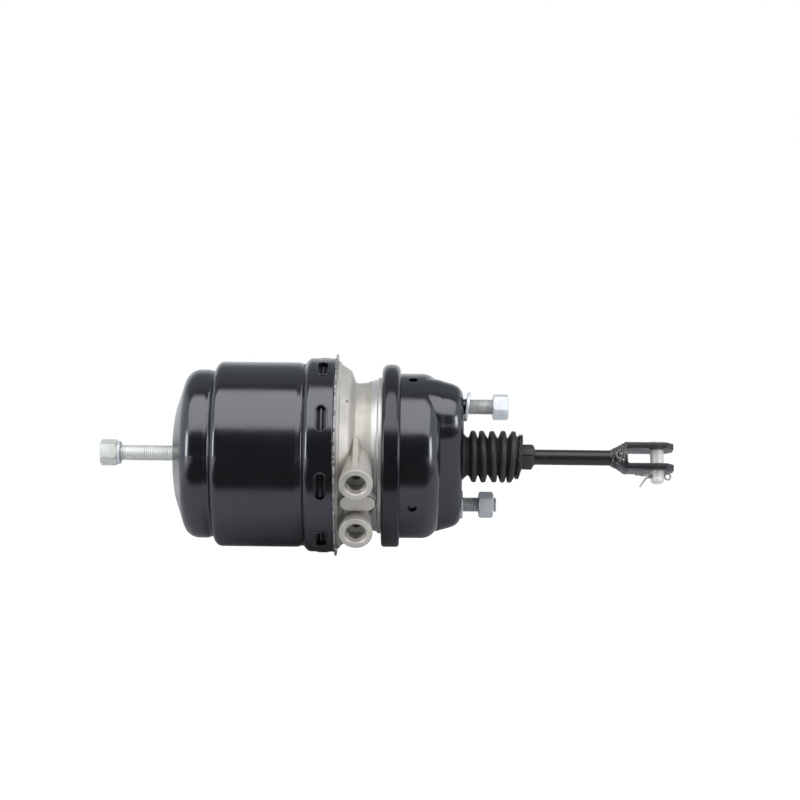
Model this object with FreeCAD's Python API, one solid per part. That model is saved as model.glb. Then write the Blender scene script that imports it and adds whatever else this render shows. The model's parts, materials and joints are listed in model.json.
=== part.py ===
"""Spring brake chamber for a drum brake: a service chamber and a spring chamber on one flange casting.

Millimetres. X runs along the pushrod, towards the clevis. Z is up. The origin is the centre of the
mounting face on the service housing, so everything but the studs, boot and pushrod has X below 0.
An elevation is an angle round X, measured from the front (minus Y) towards plus Z.
"""
import FreeCAD
import Part
import math
import os

# Service housing: pressed cup with a raised ridge that carries the two mounting studs
service_radius = 82.2
service_wall = 3.2
service_depth = 68.0
dome_drop = 22.0
dome_edge_drop = 2.0
dome_corner_radius = 15.0
# Sections of the ridge: depth below the mounting face, setback of the end from the cup's wall,
# half width, corner radius, and angle of the wall's normal from X
ridge_steps = (
    (0.0, 14.7, 29.2, 25.0, 0),
    (1.6, 10.7, 32.8, 25.0, 40),
    (5.5, 6.9, 35.9, 25.0, 68),
    (12.0, 4.2, 37.5, 25.0, 80),
    (dome_drop - 4.0, 2.5, 38.9, 25.0, 76),
    (dome_drop + 1.0, 1.4, 42.5, 32.0, 72),
    (dome_drop + 16.0, 0.5, 45.0, 40.0, 90))
service_lip_radius = 89.5
boot_hole_radius = 28.4
vent_diameter = 9.5
vent_setback = 48.5
vent_open_elevation = 67.0
vent_plugged_elevations = (-36.4, 216.4)
vent_plug_depth = 6.2
vent_plug_setback = 0.4
vent_plug_flange = 1.2
vent_plug_overhang = 1.5

# Mounting studs, M16 on a bolt circle
stud_circle_diameter = 120.65
stud_elevation = 59.0
stud_radius = 8.0
stud_thread_radius = 7.85
stud_collar_length = 2.2
stud_length = 40.7
stud_neck_radius = 8.4
stud_head_side = 24.0
stud_head_thickness = 6.0
stud_plate_thickness = 4.0
stud_plate_half_width = 20.0
stud_plate_margin = 17.0
nut_across_flats = 24.0
nut_height = 15.6
washer_radius = 15.0
washer_thickness = 3.0
washer_bore_radius = 8.7
upper_washer_stand = 5.6
lower_washer_stand = 2.4
upper_nut_stand = 33.2
lower_nut_stand = 22.0

# Diaphragm and clamp band
diaphragm_thickness = 3.0
diaphragm_gap = 1.0
clamp_width = 19.4
clamp_radius = 94.8
clamp_wall = 2.5
clamp_depth = 11.0
clamp_upper_round = 7.4
clamp_lower_round = 3.6
clamp_step_elevation = 21.0
clamp_gap_width = 9.0
clamp_lug_height = 17.0
clamp_lug_wall = 6.0
clamp_screw_radius = 5.0
clamp_nut_flats = 17.0
clamp_nut_height = 9.0

# Flange casting between the chambers
flange_lip_radius = 89.5
flange_lip_thickness = 4.6
flange_throat_radius = 81.0
flange_ring_setback = 9.5
flange_neck_radius = 74.6
flange_shoulder_setback = 55.0
flange_pilot_length = 24.0
hub_radius = 32.0
hub_bore_radius = 24.2
hub_projection = 24.0
dish_floor_radius = 50.0
cavity_depth = 36.0
rib_count = 8
rib_thickness = 5.0

# Air ports
port_setback = 33.6
port_elevation = -27.5
port_half_spacing = 27.8
port_face_distance = 111.0
port_boss_radius = 15.5
port_bore_radius = 10.2
port_thread_length = 14.0
port_countersink_radius = 12.4
air_passage_radius = 4.5
pad_length = 35.0
pad_width = 16.0
pad_face_distance = 99.0
pad_shift = 1.5
port_web_distance = 92.0

# Spring housing
body_radius = 95.8
body_wall = 3.0
housing_depth = 167.8
nose_radius = 87.4
nose_length = 42.2
nose_flat_radius = 44.0
nose_groove_depth = 2.2
body_groove_depth = 1.9
nose_cone_drop = 14.6
skirt_radius = 100.4
skirt_length = 29.0
lip_radius = 104.6
lip_thickness = 1.6
slot_count = 9
slot_first_elevation = 23.0
slot_width = 10.0
slot_arc_length = 27.0
slot_setback = 14.3
slot_rim_width = 1.2
slot_rim_height = 0.5
retaining_wire_radius = 2.3
pilot_clearance = 0.3
o_ring_radius = 1.8

# Spring piston and its tube
piston_setback = 97.0
piston_rim_width = 18.0
piston_rim_wall = 6.5
piston_web = 7.0
piston_back_step = 4.0
piston_boss_length = 9.0
piston_boss_wall = 8.0
piston_boss_taper = 2.0
piston_seal_width = 6.0
piston_seal_depth = 4.0
piston_guide_width = 4.0
piston_guide_depth = 2.2
piston_groove_play = 0.1
piston_clearance = 0.5
tube_radius = 19.0
tube_wall = 6.0
collar_thickness = 10.0
nose_disc_radius = 24.0
nose_disc_thickness = 2.0
nose_plug_length = 8.0
nose_chamfer = 1.0
seal_clearance = 0.05
bush_wall = 3.0
bush_length = 14.0
tube_seal_width = 5.0
tube_seal_gap = 4.0
tube_seal_setback = 12.0

# Power spring
power_wire_radius = 6.5
power_small_radius = 50.0
power_large_radius = 71.0
power_turns = 3.7

# Points per turn on a spring's smooth centreline
coil_points_per_turn = 8

# Release bolt, M16
release_bolt_radius = 8.0
release_head_flats = 24.0
release_head_height = 17.7
release_washer_radius = 12.0
release_washer_thickness = 3.0
release_travel = 53.0
release_spare = 4.8
thrust_washer_radius = 12.2
thrust_washer_thickness = 6.5
insert_radius = 15.0
insert_length = 14.0
thread_clearance = 0.1

# Pushrod, plate, return spring and boot
stroke = 57.0
stroke_spare = 3.8
push_plate_radius = 50.0
push_plate_wall = 4.0
push_plate_rim = 8.0
plate_gap = 0.3
rod_radius = 8.0
rod_reach = 160.0
return_wire_radius = 2.0
return_turns = 5.0
return_small_radius = 22.0
return_large_radius = 39.0
spring_seat_radius = 45.0
spring_seat_wall = 2.0
spring_seat_hole = 15.0
spring_seat_gap = 0.4
boot_bead_radius = 29.3
boot_outer_radius = 27.0
boot_valley_radius = 19.6
boot_wall = 1.7
boot_folds = 5
boot_first_fold = 14.0
boot_fold_pitch = 10.1
boot_rib_radius = 23.0
boot_cuff_radius = 13.1
boot_cuff_length = 14.0
boot_length = 78.5
boot_rod_clearance = 0.3

# Clevis and pin
clevis_root_stand = 14.2
clevis_pin_stand = 31.8
clevis_root = rod_reach + clevis_root_stand
clevis_gap = 16.0
clevis_ear = 6.0
clevis_width = 29.0
clevis_pin_station = clevis_root + clevis_pin_stand
clevis_nose = 16.6
clevis_nose_chamfer = 8.0
clevis_turn = 14.5
clevis_neck_length = 15.0
pin_radius = 7.0
pin_running_clearance = 0.06
pin_head_radius = 9.6
pin_head_thickness = 2.6
pin_tail = 12.5
split_wire_radius = 1.0
split_hole_clearance = 0.2
split_pin_stand = 4.4

# Fits between pieces of one body
seat_clearance = 0.05

# Places along X worked out from the sizes above
seam_x = -service_depth
flange_front_x = seam_x - diaphragm_thickness
shoulder_x = flange_front_x - flange_shoulder_setback
pilot_end_x = shoulder_x - flange_pilot_length
dome_slope = dome_edge_drop / service_radius
seat_cone_x = -dome_drop - dome_slope * spring_seat_radius
spring_seat_x = seat_cone_x - service_wall * math.hypot(1, dome_slope) - spring_seat_gap
push_plate_x = spring_seat_x - spring_seat_wall - stroke_spare - stroke - push_plate_rim
dish_floor_x = push_plate_x - plate_gap - diaphragm_thickness - diaphragm_gap
cavity_floor_x = pilot_end_x + cavity_depth
hub_end_x = cavity_floor_x - hub_projection
apex_x = shoulder_x - housing_depth
port_x = flange_front_x - port_setback
slot_x = shoulder_x - slot_setback
clamp_x = seam_x - diaphragm_thickness / 2 - 1.2
piston_x = shoulder_x - piston_setback
piston_seal_x = piston_x + piston_rim_width - 9.4
piston_guide_x = piston_x
thrust_x = piston_x + collar_thickness + 0.3
bore_radius = body_radius - body_wall
release_head_x = apex_x - release_travel - release_spare - release_washer_thickness - release_head_height
ring_centre_radius = skirt_radius - body_wall - retaining_wire_radius + 0.9
ring_seat_radius = ring_centre_radius - retaining_wire_radius - 0.1
o_ring_x = pilot_end_x + 4.4
o_ring_seat_radius = skirt_radius - body_wall - 2 * (o_ring_radius + seat_clearance)


def vec(x, y=0.0, z=0.0):
    return FreeCAD.Vector(x, y, z)


x_axis = vec(1)


def outward(elevation):
    """Unit vector square to X at an elevation."""
    turn = math.radians(elevation)
    return vec(0, -math.cos(turn), math.sin(turn))


def sideways(elevation):
    """Unit vector square to X and to outward(elevation), a quarter turn on."""
    return outward(elevation + 90)


def rounded_wire(corners, closed=True):
    """Wire in the XZ plane through (x, radius, corner round) points."""
    points = [vec(corner[0], 0, corner[1]) for corner in corners]
    rounds = [corner[2] if len(corner) > 2 else 0.0 for corner in corners]
    last = len(points) - 1
    spans = []
    for index, here in enumerate(points):
        free_end = not closed and index in (0, last)
        if rounds[index] <= 0 or free_end:
            spans.append((here, here, here))
            continue
        back = (points[index - 1] - here).normalize()
        ahead = (points[(index + 1) % len(points)] - here).normalize()
        half = back.getAngle(ahead) / 2
        reach = rounds[index] / math.tan(half)
        middle = (back + ahead).normalize() * (rounds[index] / math.sin(half) - rounds[index])
        spans.append((here + back * reach, here + middle, here + ahead * reach))
    edges = []
    for index, (start, middle, end) in enumerate(spans):
        if (end - start).Length > 1e-6:
            edges.append(Part.Arc(start, middle, end).toShape())
        if index < last or closed:
            following = spans[(index + 1) % len(spans)][0]
            if (following - end).Length > 1e-6:
                edges.append(Part.LineSegment(end, following).toShape())
    return Part.Wire(edges)


def turned(corners, sweep=360.0, first_elevation=0.0):
    """Solid of revolution about X from a closed outline of (x, radius, corner round) points."""
    face = Part.Face(rounded_wire(corners))
    solid = face.revolve(vec(0), x_axis, sweep)
    solid.rotate(vec(0), x_axis, 90.0 - first_elevation - sweep)
    return solid


def inset(corners, wall):
    """Path beside an open path, wall to its axis side, with its corner rounds kept concentric."""
    result = []
    last = len(corners) - 1
    for index, corner in enumerate(corners):
        here = vec(corner[0], 0, corner[1])
        steps = []
        if index > 0:
            steps.append((here - vec(corners[index - 1][0], 0, corners[index - 1][1])).normalize())
        if index < last:
            steps.append((vec(corners[index + 1][0], 0, corners[index + 1][1]) - here).normalize())
        sides = [vec(step.z, 0, -step.x) for step in steps]
        mitre = vec(0)
        for side in sides:
            mitre = mitre + side
        mitre.normalize()
        moved = here + mitre * (wall / mitre.dot(sides[0]))
        turn = 0.0
        if len(steps) == 2:
            turn = steps[0].x * steps[1].z - steps[0].z * steps[1].x
        corner_round = corner[2] if len(corner) > 2 else 0.0
        if corner_round > 0:
            corner_round = max(corner_round + wall * math.copysign(1, turn), 0.6)
        result.append((moved.x, moved.z, corner_round))
    return result


def pressed(corners, wall):
    """Sheet of one thickness whose outside follows an open path, turned about X."""
    return turned(list(corners) + inset(corners, wall)[::-1])


def tube(start_x, end_x, outer, inner, chamfer=0.0):
    """Plain ring about X, chamfered outside at both ends."""
    cut = chamfer
    corners = [(start_x, inner), (start_x, outer - cut), (start_x + cut, outer)]
    corners += [(end_x - cut, outer), (end_x, outer - cut), (end_x, inner)]
    if cut == 0:
        corners = [(start_x, inner), (start_x, outer), (end_x, outer), (end_x, inner)]
    return turned(corners)


def bar(start, direction, length, radius):
    return Part.makeCylinder(radius, length, start, direction)


def hex_prism(start_x, length, flats, chamfer, bore=0.0):
    """Hexagon about X with both ends turned to a cone."""
    circle = flats / math.sqrt(3)
    points = []
    for corner in range(7):
        turn = math.radians(60 * corner)
        points.append(vec(start_x, circle * math.cos(turn), circle * math.sin(turn)))
    prism = Part.Face(Part.makePolygon(points)).extrude(vec(length))
    inner = flats / 2 - 0.3
    end_x = start_x + length
    blank = turned([
        (start_x, 0), (start_x, inner), (start_x + chamfer, circle + 0.1),
        (end_x - chamfer, circle + 0.1), (end_x, inner), (end_x, 0)])
    prism = prism.common(blank)
    if bore > 0:
        prism = prism.cut(bar(vec(start_x - 1), x_axis, length + 2, bore))
    return prism


def coil(start_x, start_radius, end_x, end_radius, turns, wire_radius):
    """Round wire wound about X, on a cone where the two radii differ."""
    steps = round(turns * coil_points_per_turn)
    points = []
    for step in range(steps + 1):
        share = step / steps
        radius = start_radius + (end_radius - start_radius) * share
        spoke = outward(360 * turns * share) * radius
        points.append(vec(start_x + (end_x - start_x) * share) + spoke)
    centreline = Part.BSplineCurve()
    centreline.interpolate(points)
    tangent = centreline.tangent(centreline.FirstParameter)[0]
    section = Part.Wire(Part.makeCircle(wire_radius, points[0], tangent))
    return Part.Wire(centreline.toShape()).makePipeShell([section], True, False)


def stadium(centre, along, across, normal, length, width, height):
    """Prism with round ends, long way along, standing on centre towards normal."""
    straight = length - width
    half = width / 2
    a = centre + along * (straight / 2) + across * half
    b = centre - along * (straight / 2) + across * half
    c = centre - along * (straight / 2) - across * half
    d = centre + along * (straight / 2) - across * half
    edges = [
        Part.LineSegment(a, b).toShape(),
        Part.Arc(b, centre - along * (length / 2), c).toShape(),
        Part.LineSegment(c, d).toShape(),
        Part.Arc(d, centre + along * (length / 2), a).toShape()]
    return Part.Face(Part.Wire(edges)).extrude(normal * height)


def ridge_section(x, half_length, half_width, end_round):
    """Outline of the ridge across X, long way along the stud line, with round corners."""
    along = outward(stud_elevation)
    across = sideways(stud_elevation)
    bow = end_round * (1 - math.sqrt(0.5))
    straight = half_length - end_round
    side = half_width - end_round
    edges = []
    for sign_along, sign_across in ((1, 1), (-1, 1), (-1, -1), (1, -1)):
        on_side = vec(x) + along * (sign_along * straight) + across * (sign_across * half_width)
        middle = vec(x) + along * (sign_along * (half_length - bow))
        middle = middle + across * (sign_across * (half_width - bow))
        on_end = vec(x) + along * (sign_along * half_length) + across * (sign_across * side)
        opposite = vec(x) + along * (sign_along * half_length) - across * (sign_across * side)
        beside = vec(x) - along * (sign_along * straight) + across * (sign_across * half_width)
        if sign_along == sign_across:
            edges.append(Part.Arc(on_end, middle, on_side).toShape())
            edges.append(Part.LineSegment(on_side, beside).toShape())
        else:
            edges.append(Part.Arc(on_side, middle, on_end).toShape())
            edges.append(Part.LineSegment(on_end, opposite).toShape())
    return Part.Wire(edges)


def service_form(depth_in):
    """Solid shape of the service housing, depth_in inside its outer surface."""
    radius = service_radius - depth_in
    dome_x = -dome_drop - depth_in
    cup = turned([
        (seam_x - 20, 0), (seam_x - 20, radius),
        (dome_x - dome_edge_drop, radius, dome_corner_radius - depth_in), (dome_x, 0)])
    sections = []
    for drop, setback, half_width, end_round, lean in ridge_steps:
        lower = depth_in * math.cos(math.radians(lean))
        inner = depth_in * math.sin(math.radians(lean))
        sections.append(ridge_section(
            -drop - lower, service_radius - setback - inner, half_width - inner, end_round - inner))
    return cup.fuse(Part.makeLoft(sections, True, True)).removeSplitter()


def boss_axis_point(side):
    """Point on the X port_x plane where a port's axis is nearest the main axis."""
    return vec(port_x) + sideways(port_elevation) * (side * port_half_spacing)


def make_service_housing():
    shell = service_form(0)
    hollow = service_form(service_wall)
    open_end = bar(vec(seam_x - 60), x_axis, 60, service_lip_radius + 20)
    shell = shell.cut(hollow).cut(open_end)
    lip = pressed([
        (seam_x + service_wall, service_lip_radius), (seam_x + service_wall, service_radius, 1.4),
        (seam_x + 14.0, service_radius)], service_wall)
    shell = shell.cut(tube(seam_x - 5, seam_x + 14.0, service_radius + 5, service_radius - 20))
    shell = shell.fuse(lip).removeSplitter()
    shell = shell.cut(bar(vec(-50), x_axis, 60, boot_hole_radius))
    for side in (0, 180):
        start = vec(-dome_drop) + outward(stud_elevation + side) * (stud_circle_diameter / 2)
        shell = shell.cut(bar(start, x_axis, 2 * dome_drop, stud_neck_radius + seat_clearance))
    for elevation in (vent_open_elevation,) + vent_plugged_elevations:
        start = vec(-vent_setback) + outward(elevation) * (service_radius - vent_diameter)
        shell = shell.cut(bar(start, outward(elevation), 2 * vent_diameter, vent_diameter / 2))
    return shell


def make_vent_plugs():
    plugs = []
    for elevation in vent_plugged_elevations:
        start = vec(-vent_setback) + outward(elevation) * (service_radius - vent_plug_depth)
        plug_radius = vent_diameter / 2 - seat_clearance
        plug = bar(start, outward(elevation), vent_plug_depth - vent_plug_setback, plug_radius)
        flange_start = start - outward(elevation) * vent_plug_flange
        flange_radius = vent_diameter / 2 + vent_plug_overhang
        flange = bar(flange_start, outward(elevation), vent_plug_flange, flange_radius)
        plugs.append(plug.fuse(flange))
    return Part.makeCompound(plugs)


def at_studs(maker):
    """One solid at each stud, made by maker(upper) about the X axis."""
    solids = []
    for upper, side in ((True, 0), (False, 180)):
        solid = maker(upper)
        solid.translate(outward(stud_elevation + side) * (stud_circle_diameter / 2))
        solids.append(solid)
    return Part.makeCompound(solids)


def make_stud(upper):
    plate_x = -service_wall - stud_plate_thickness
    head_x = plate_x - stud_head_thickness
    stem = turned([
        (head_x + 1, 0), (head_x + 1, stud_neck_radius), (0, stud_neck_radius), (0, stud_radius),
        (stud_collar_length, stud_radius), (stud_collar_length, stud_thread_radius),
        (stud_length - 1.5, stud_thread_radius), (stud_length, stud_thread_radius - 1.5), (stud_length, 0)])
    head = Part.makeBox(
        stud_head_thickness, stud_head_side, stud_head_side,
        vec(head_x, -stud_head_side / 2, -stud_head_side / 2))
    head.rotate(vec(0), x_axis, 90 - stud_elevation)
    return stem.fuse(head)


def make_stud_plates():
    """Reinforcing plate under the ridge at each stud, clear of the boot, with the stud head against it."""
    start_x = -service_wall - stud_plate_thickness
    ring_blank = tube(start_x, -service_wall, service_radius - stud_plate_margin, boot_bead_radius + 2)
    plates = []
    for side in (0, 180):
        out = outward(stud_elevation + side)
        across = sideways(stud_elevation)
        near = vec(start_x) - across * stud_plate_half_width
        far = near + out * service_radius
        strip = Part.Face(Part.makePolygon([
            near, far, far + across * (2 * stud_plate_half_width),
            near + across * (2 * stud_plate_half_width), near])).extrude(vec(stud_plate_thickness))
        plate = strip.common(ring_blank)
        start = vec(start_x - 1) + out * (stud_circle_diameter / 2)
        hole = bar(start, x_axis, stud_plate_thickness + 2, stud_neck_radius + seat_clearance)
        plates.append(plate.cut(hole))
    return Part.makeCompound(plates)


def make_stud_washer(upper):
    stand = upper_washer_stand if upper else lower_washer_stand
    return tube(stand, stand + washer_thickness, washer_radius, washer_bore_radius, 0.4)


def make_stud_nut(upper):
    stand = upper_nut_stand if upper else lower_nut_stand
    nut = hex_prism(stand, nut_height, nut_across_flats, 1.6, stud_thread_radius + seat_clearance)
    nut.rotate(vec(0), x_axis, 12.0 if upper else 30.0)
    return nut


def make_diaphragm():
    """Rubber dish gripped between the two lips, lying back against the flange dish."""
    centre_x = dish_floor_x + diaphragm_gap
    outer = service_lip_radius - 1.5
    path = [
        (seam_x, outer, 0), (seam_x, flange_throat_radius - 9, 5),
        (centre_x + diaphragm_thickness, dish_floor_radius + 7, 12), (centre_x + diaphragm_thickness, 0, 0)]
    back = [(x - diaphragm_thickness, radius, corner_round) for x, radius, corner_round in path]
    return turned(path + back[::-1])


def clamp_section(corner_round):
    """U section of the clamp band, open towards the axis."""
    half = clamp_width / 2
    foot = clamp_radius - clamp_depth
    inner = clamp_radius - clamp_wall
    return [
        (clamp_x - half, foot), (clamp_x - half + 0.4, clamp_radius, corner_round),
        (clamp_x + half - 0.4, clamp_radius, corner_round), (clamp_x + half, foot),
        (clamp_x + half - clamp_wall, foot),
        (clamp_x + half - clamp_wall - 0.4, inner, max(corner_round - clamp_wall, 0.6)),
        (clamp_x - half + clamp_wall + 0.4, inner, max(corner_round - clamp_wall, 0.6)),
        (clamp_x - half + clamp_wall, foot)]


def clamp_back_elevation():
    return clamp_step_elevation + 180


def make_clamp_band():
    """Split band: a rounder section on the upper half, a squarer one below, lugs at the back."""
    gap = math.degrees(clamp_gap_width / clamp_radius)
    upper = turned(clamp_section(clamp_upper_round), 180 - gap / 2, clamp_step_elevation)
    lower = turned(clamp_section(clamp_lower_round), 180 - gap / 2, clamp_step_elevation - 180 + gap / 2)
    band = upper.fuse(lower)
    back = outward(clamp_back_elevation())
    across = sideways(clamp_back_elevation())
    screw = clamp_screw_centre()
    for side in (-1, 1):
        root = screw + across * (side * clamp_gap_width / 2)
        lug = lug_plate(root, back, across * side)
        band = band.fuse(lug)
    hole_start = screw - across * 40
    return band.cut(bar(hole_start, across, 80, clamp_screw_radius + 0.4))


def clamp_screw_centre():
    return vec(clamp_x) + outward(clamp_back_elevation()) * (clamp_radius + clamp_lug_height / 2)


def lug_plate(root, back, across):
    """Upright lug with a round top, welded on the band's end."""
    half = clamp_width / 2 - 1
    foot = root - back * (clamp_lug_height / 2 + clamp_wall)
    a = foot - x_axis * half
    b = root - x_axis * half
    c = root + back * half
    d = root + x_axis * half
    e = foot + x_axis * half
    edges = [
        Part.LineSegment(a, b).toShape(), Part.Arc(b, c, d).toShape(),
        Part.LineSegment(d, e).toShape(), Part.LineSegment(e, a).toShape()]
    return Part.Face(Part.Wire(edges)).extrude(across * clamp_lug_wall)


def laid_across(solid):
    """Turns a solid made about X to lie along the clamp screw."""
    across = sideways(clamp_back_elevation())
    turn = FreeCAD.Rotation(x_axis, across)
    solid.Placement = FreeCAD.Placement(clamp_screw_centre(), turn).multiply(solid.Placement)
    return solid


def make_clamp_bolt():
    reach = clamp_gap_width / 2 + clamp_lug_wall
    shank = bar(vec(-reach), x_axis, 2 * reach + clamp_nut_height + 4, clamp_screw_radius)
    head = hex_prism(-reach - clamp_nut_height, clamp_nut_height, clamp_nut_flats, 1.2)
    return laid_across(shank.fuse(head))


def make_clamp_nut():
    reach = clamp_gap_width / 2 + clamp_lug_wall
    nut = hex_prism(reach, clamp_nut_height, clamp_nut_flats, 1.2, clamp_screw_radius + seat_clearance)
    return laid_across(nut)


def flange_outline():
    """Outside of the flange casting, from its pilot to the clamped lip."""
    pilot = skirt_radius - body_wall - pilot_clearance
    ring_x = flange_front_x - flange_lip_thickness - flange_ring_setback
    return [
        (pilot_end_x, pilot, 1.0), (shoulder_x + 2.4, pilot, 1.6), (shoulder_x + 4.0, pilot - 3.0, 1.0),
        (shoulder_x + 14.0, pilot - 9.5, 6.0), (shoulder_x + 18.5, flange_neck_radius, 4.0),
        (shoulder_x + 29.0, flange_neck_radius + 0.6, 5.0), (ring_x - 2.0, flange_throat_radius - 2.4, 1.5),
        (ring_x, flange_throat_radius - 2.2, 0.6), (ring_x + 1.4, flange_throat_radius, 0.8),
        (flange_front_x - flange_lip_thickness - 1.4, flange_throat_radius, 1.0),
        (flange_front_x - flange_lip_thickness, flange_lip_radius, 1.5), (flange_front_x, flange_lip_radius)]


def flange_inside():
    """Front dish, hub and rear cavity of the flange casting, from the lip to the pilot."""
    cavity_outer = skirt_radius - body_wall - 7
    return [
        (flange_front_x, flange_throat_radius - 7, 3.0), (dish_floor_x, dish_floor_radius + 8, 12.0),
        (dish_floor_x, hub_bore_radius + 9, 2.0), (dish_floor_x - 4, hub_bore_radius + 8, 1.0),
        (dish_floor_x - 4, hub_bore_radius), (hub_end_x, hub_bore_radius),
        (hub_end_x, hub_radius, 2.0), (cavity_floor_x, hub_radius + 3, 4.0),
        (cavity_floor_x, flange_neck_radius - 13, 6.0), (pilot_end_x + 24, cavity_outer - 2, 8.0),
        (pilot_end_x, cavity_outer, 0)]


def sloping_shoulder(sign):
    """Three-sided ramp from the neck up to the outer side of one port boss."""
    out = outward(port_elevation)
    side = sideways(port_elevation) * sign
    rings = []
    for height, half, near, far in ((56.0, 17.5, 16.0, 52.0), (port_face_distance - 6, 11.0, 22.0, 42.0)):
        centre = vec(port_x) + out * height
        corners = [
            centre - x_axis * half + side * near, centre + x_axis * half + side * near,
            centre + x_axis * 1.5 + side * far, centre - x_axis * 3.5 + side * far]
        rings.append(Part.makePolygon(corners + [corners[0]]))
    return Part.makeLoft(rings, True, True)


def port_block():
    """Material that carries both port bosses, running back into the neck."""
    side = sideways(port_elevation)
    out = outward(port_elevation)
    half_depth = port_boss_radius * 0.8
    corner = vec(port_x - half_depth) - side * port_half_spacing + out * 50
    block = Part.Face(Part.makePolygon([
        corner, corner + x_axis * (2 * half_depth),
        corner + x_axis * (2 * half_depth) + side * (2 * port_half_spacing),
        corner + side * (2 * port_half_spacing), corner])).extrude(out * (port_web_distance - 50))
    for sign in (-1, 1):
        boss = bar(boss_axis_point(sign) + out * 40, out, port_face_distance - 40, port_boss_radius)
        block = block.fuse(boss).fuse(sloping_shoulder(sign))
    pad_centre = vec(port_x + pad_shift) + out * 80
    pad = stadium(pad_centre, x_axis, side, out, pad_length, pad_width, pad_face_distance - 80)
    return block.fuse(pad)


def make_flange_body():
    casting = turned(flange_outline() + flange_inside())
    block = port_block().cut(front_hollow()).cut(rear_hollow())
    casting = casting.fuse(block)
    for index in range(rib_count):
        casting = casting.fuse(cavity_rib(index * 360 / rib_count + 10))
    for sign in (-1, 1):
        casting = casting.cut(port_bore(sign))
    casting = casting.cut(ring_groove(slot_x, retaining_wire_radius + 0.3, ring_seat_radius))
    return casting.cut(ring_groove(o_ring_x, o_ring_radius + 0.3, o_ring_seat_radius))


def front_hollow():
    """Space of the front dish."""
    return turned([(flange_front_x + 1, 0), (flange_front_x + 1, flange_throat_radius - 7)]
                  + flange_inside()[:2] + [(dish_floor_x, 0)])


def rear_hollow():
    """Space behind the web, as far as the pilot's end."""
    return turned([(pilot_end_x - 1, 0), (cavity_floor_x, 0)] + flange_inside()[8:]
                  + [(pilot_end_x - 1, flange_inside()[-1][1])])


def ring_groove(centre_x, half, floor_radius):
    """Groove round the pilot, open outwards."""
    return tube(centre_x - half, centre_x + half, skirt_radius - body_wall + 1, floor_radius)


def cavity_rib(elevation):
    """Radial rib on the rear cavity floor, from the hub to the outer wall."""
    out = outward(elevation)
    side = sideways(elevation)
    outer = skirt_radius - body_wall - 9
    corners = [
        (hub_end_x + 3, hub_radius - 1), (cavity_floor_x + 3, hub_radius - 1),
        (cavity_floor_x + 3, flange_neck_radius - 10),
        (pilot_end_x + 22, outer), (pilot_end_x + 17, outer - 3)]
    points = [vec(x) + out * radius - side * (rib_thickness / 2) for x, radius in corners]
    return Part.Face(Part.makePolygon(points + [points[0]])).extrude(side * rib_thickness)


def port_bore(sign):
    """Threaded bore, its countersink and floor, and the passage on to its own chamber."""
    out = outward(port_elevation)
    face = boss_axis_point(sign) + out * port_face_distance
    sink = port_countersink_radius - port_bore_radius
    bore = bar(face - out * (port_thread_length + sink), out, port_thread_length + sink + 1, port_bore_radius)
    cone = Part.makeCone(port_countersink_radius, port_bore_radius, sink, face, out * -1)
    floor = Part.makeCone(
        port_bore_radius, air_passage_radius, 3.0, face - out * (port_thread_length + sink), out * -1)
    turn_distance = port_face_distance - 60
    drill = bar(face - out * turn_distance, out, turn_distance, air_passage_radius)
    turn_point = face - out * turn_distance
    way = x_axis if sign > 0 else x_axis * -1
    reach = 24.0 if sign > 0 else 22.0
    branch = bar(turn_point, way, reach, air_passage_radius)
    return bore.fuse(cone).fuse(floor).fuse(drill).fuse(branch)


def make_spring_housing():
    nose_end = apex_x + nose_length
    skirt_start = shoulder_x - skirt_length
    path = [
        (apex_x, insert_radius - 2), (apex_x, nose_flat_radius, 60.0),
        (apex_x + nose_cone_drop, nose_radius, 16.0), (nose_end - 7.5, nose_radius, 6.0),
        (nose_end - 1.5, nose_radius - nose_groove_depth, 2.5), (nose_end + 2.2, body_radius, 8.0),
        (skirt_start - 11.0, body_radius, 5.0), (skirt_start - 5.4, body_radius - body_groove_depth, 1.8),
        (skirt_start, skirt_radius, 7.0), (shoulder_x - lip_thickness - 0.6, skirt_radius, 1.2),
        (shoulder_x - lip_thickness, lip_radius)]
    shell = pressed(path, body_wall)
    shell = shell.cut(tube(shoulder_x, shoulder_x + 20, lip_radius + 20, body_radius - 20))
    shell = shell.cut(tube(slot_x - retaining_wire_radius - 0.2, slot_x + retaining_wire_radius + 0.2,
                           ring_centre_radius + retaining_wire_radius + 0.15, body_radius - 20))
    for index in range(slot_count):
        elevation = slot_first_elevation + index * 360 / slot_count
        out = outward(elevation)
        seat = vec(slot_x) + out * (skirt_radius - 12)
        around = sideways(elevation)
        rim = stadium(
            seat, around, x_axis, out, slot_arc_length + 2 * slot_rim_width,
            slot_width + 2 * slot_rim_width, 20)
        rim = rim.common(tube(slot_x - 12, slot_x + 12, skirt_radius + slot_rim_height, skirt_radius - 0.5))
        shell = shell.fuse(rim)
        shell = shell.cut(stadium(seat, around, x_axis, out, slot_arc_length, slot_width, 20))
    return shell


def ring(centre_x, mean_radius, wire_radius):
    """Round-section ring about X."""
    return Part.makeTorus(mean_radius, wire_radius, vec(centre_x), x_axis)


def make_release_insert():
    """Threaded bush pressed into the end of the spring housing."""
    bore = release_bolt_radius + thread_clearance
    return turned([
        (apex_x - 1.5, bore + 1.0), (apex_x - 1.5, insert_radius - 2 - seat_clearance),
        (apex_x + body_wall, insert_radius - 2 - seat_clearance), (apex_x + body_wall, insert_radius),
        (apex_x + insert_length - 1, insert_radius), (apex_x + insert_length, insert_radius - 1),
        (apex_x + insert_length, bore), (apex_x - 0.5, bore)])


def make_power_spring():
    small_x = apex_x + body_wall + power_wire_radius + 3.6
    large_x = piston_x - power_wire_radius - 0.3
    return coil(small_x, power_small_radius, large_x, power_large_radius, power_turns, power_wire_radius)


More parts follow.
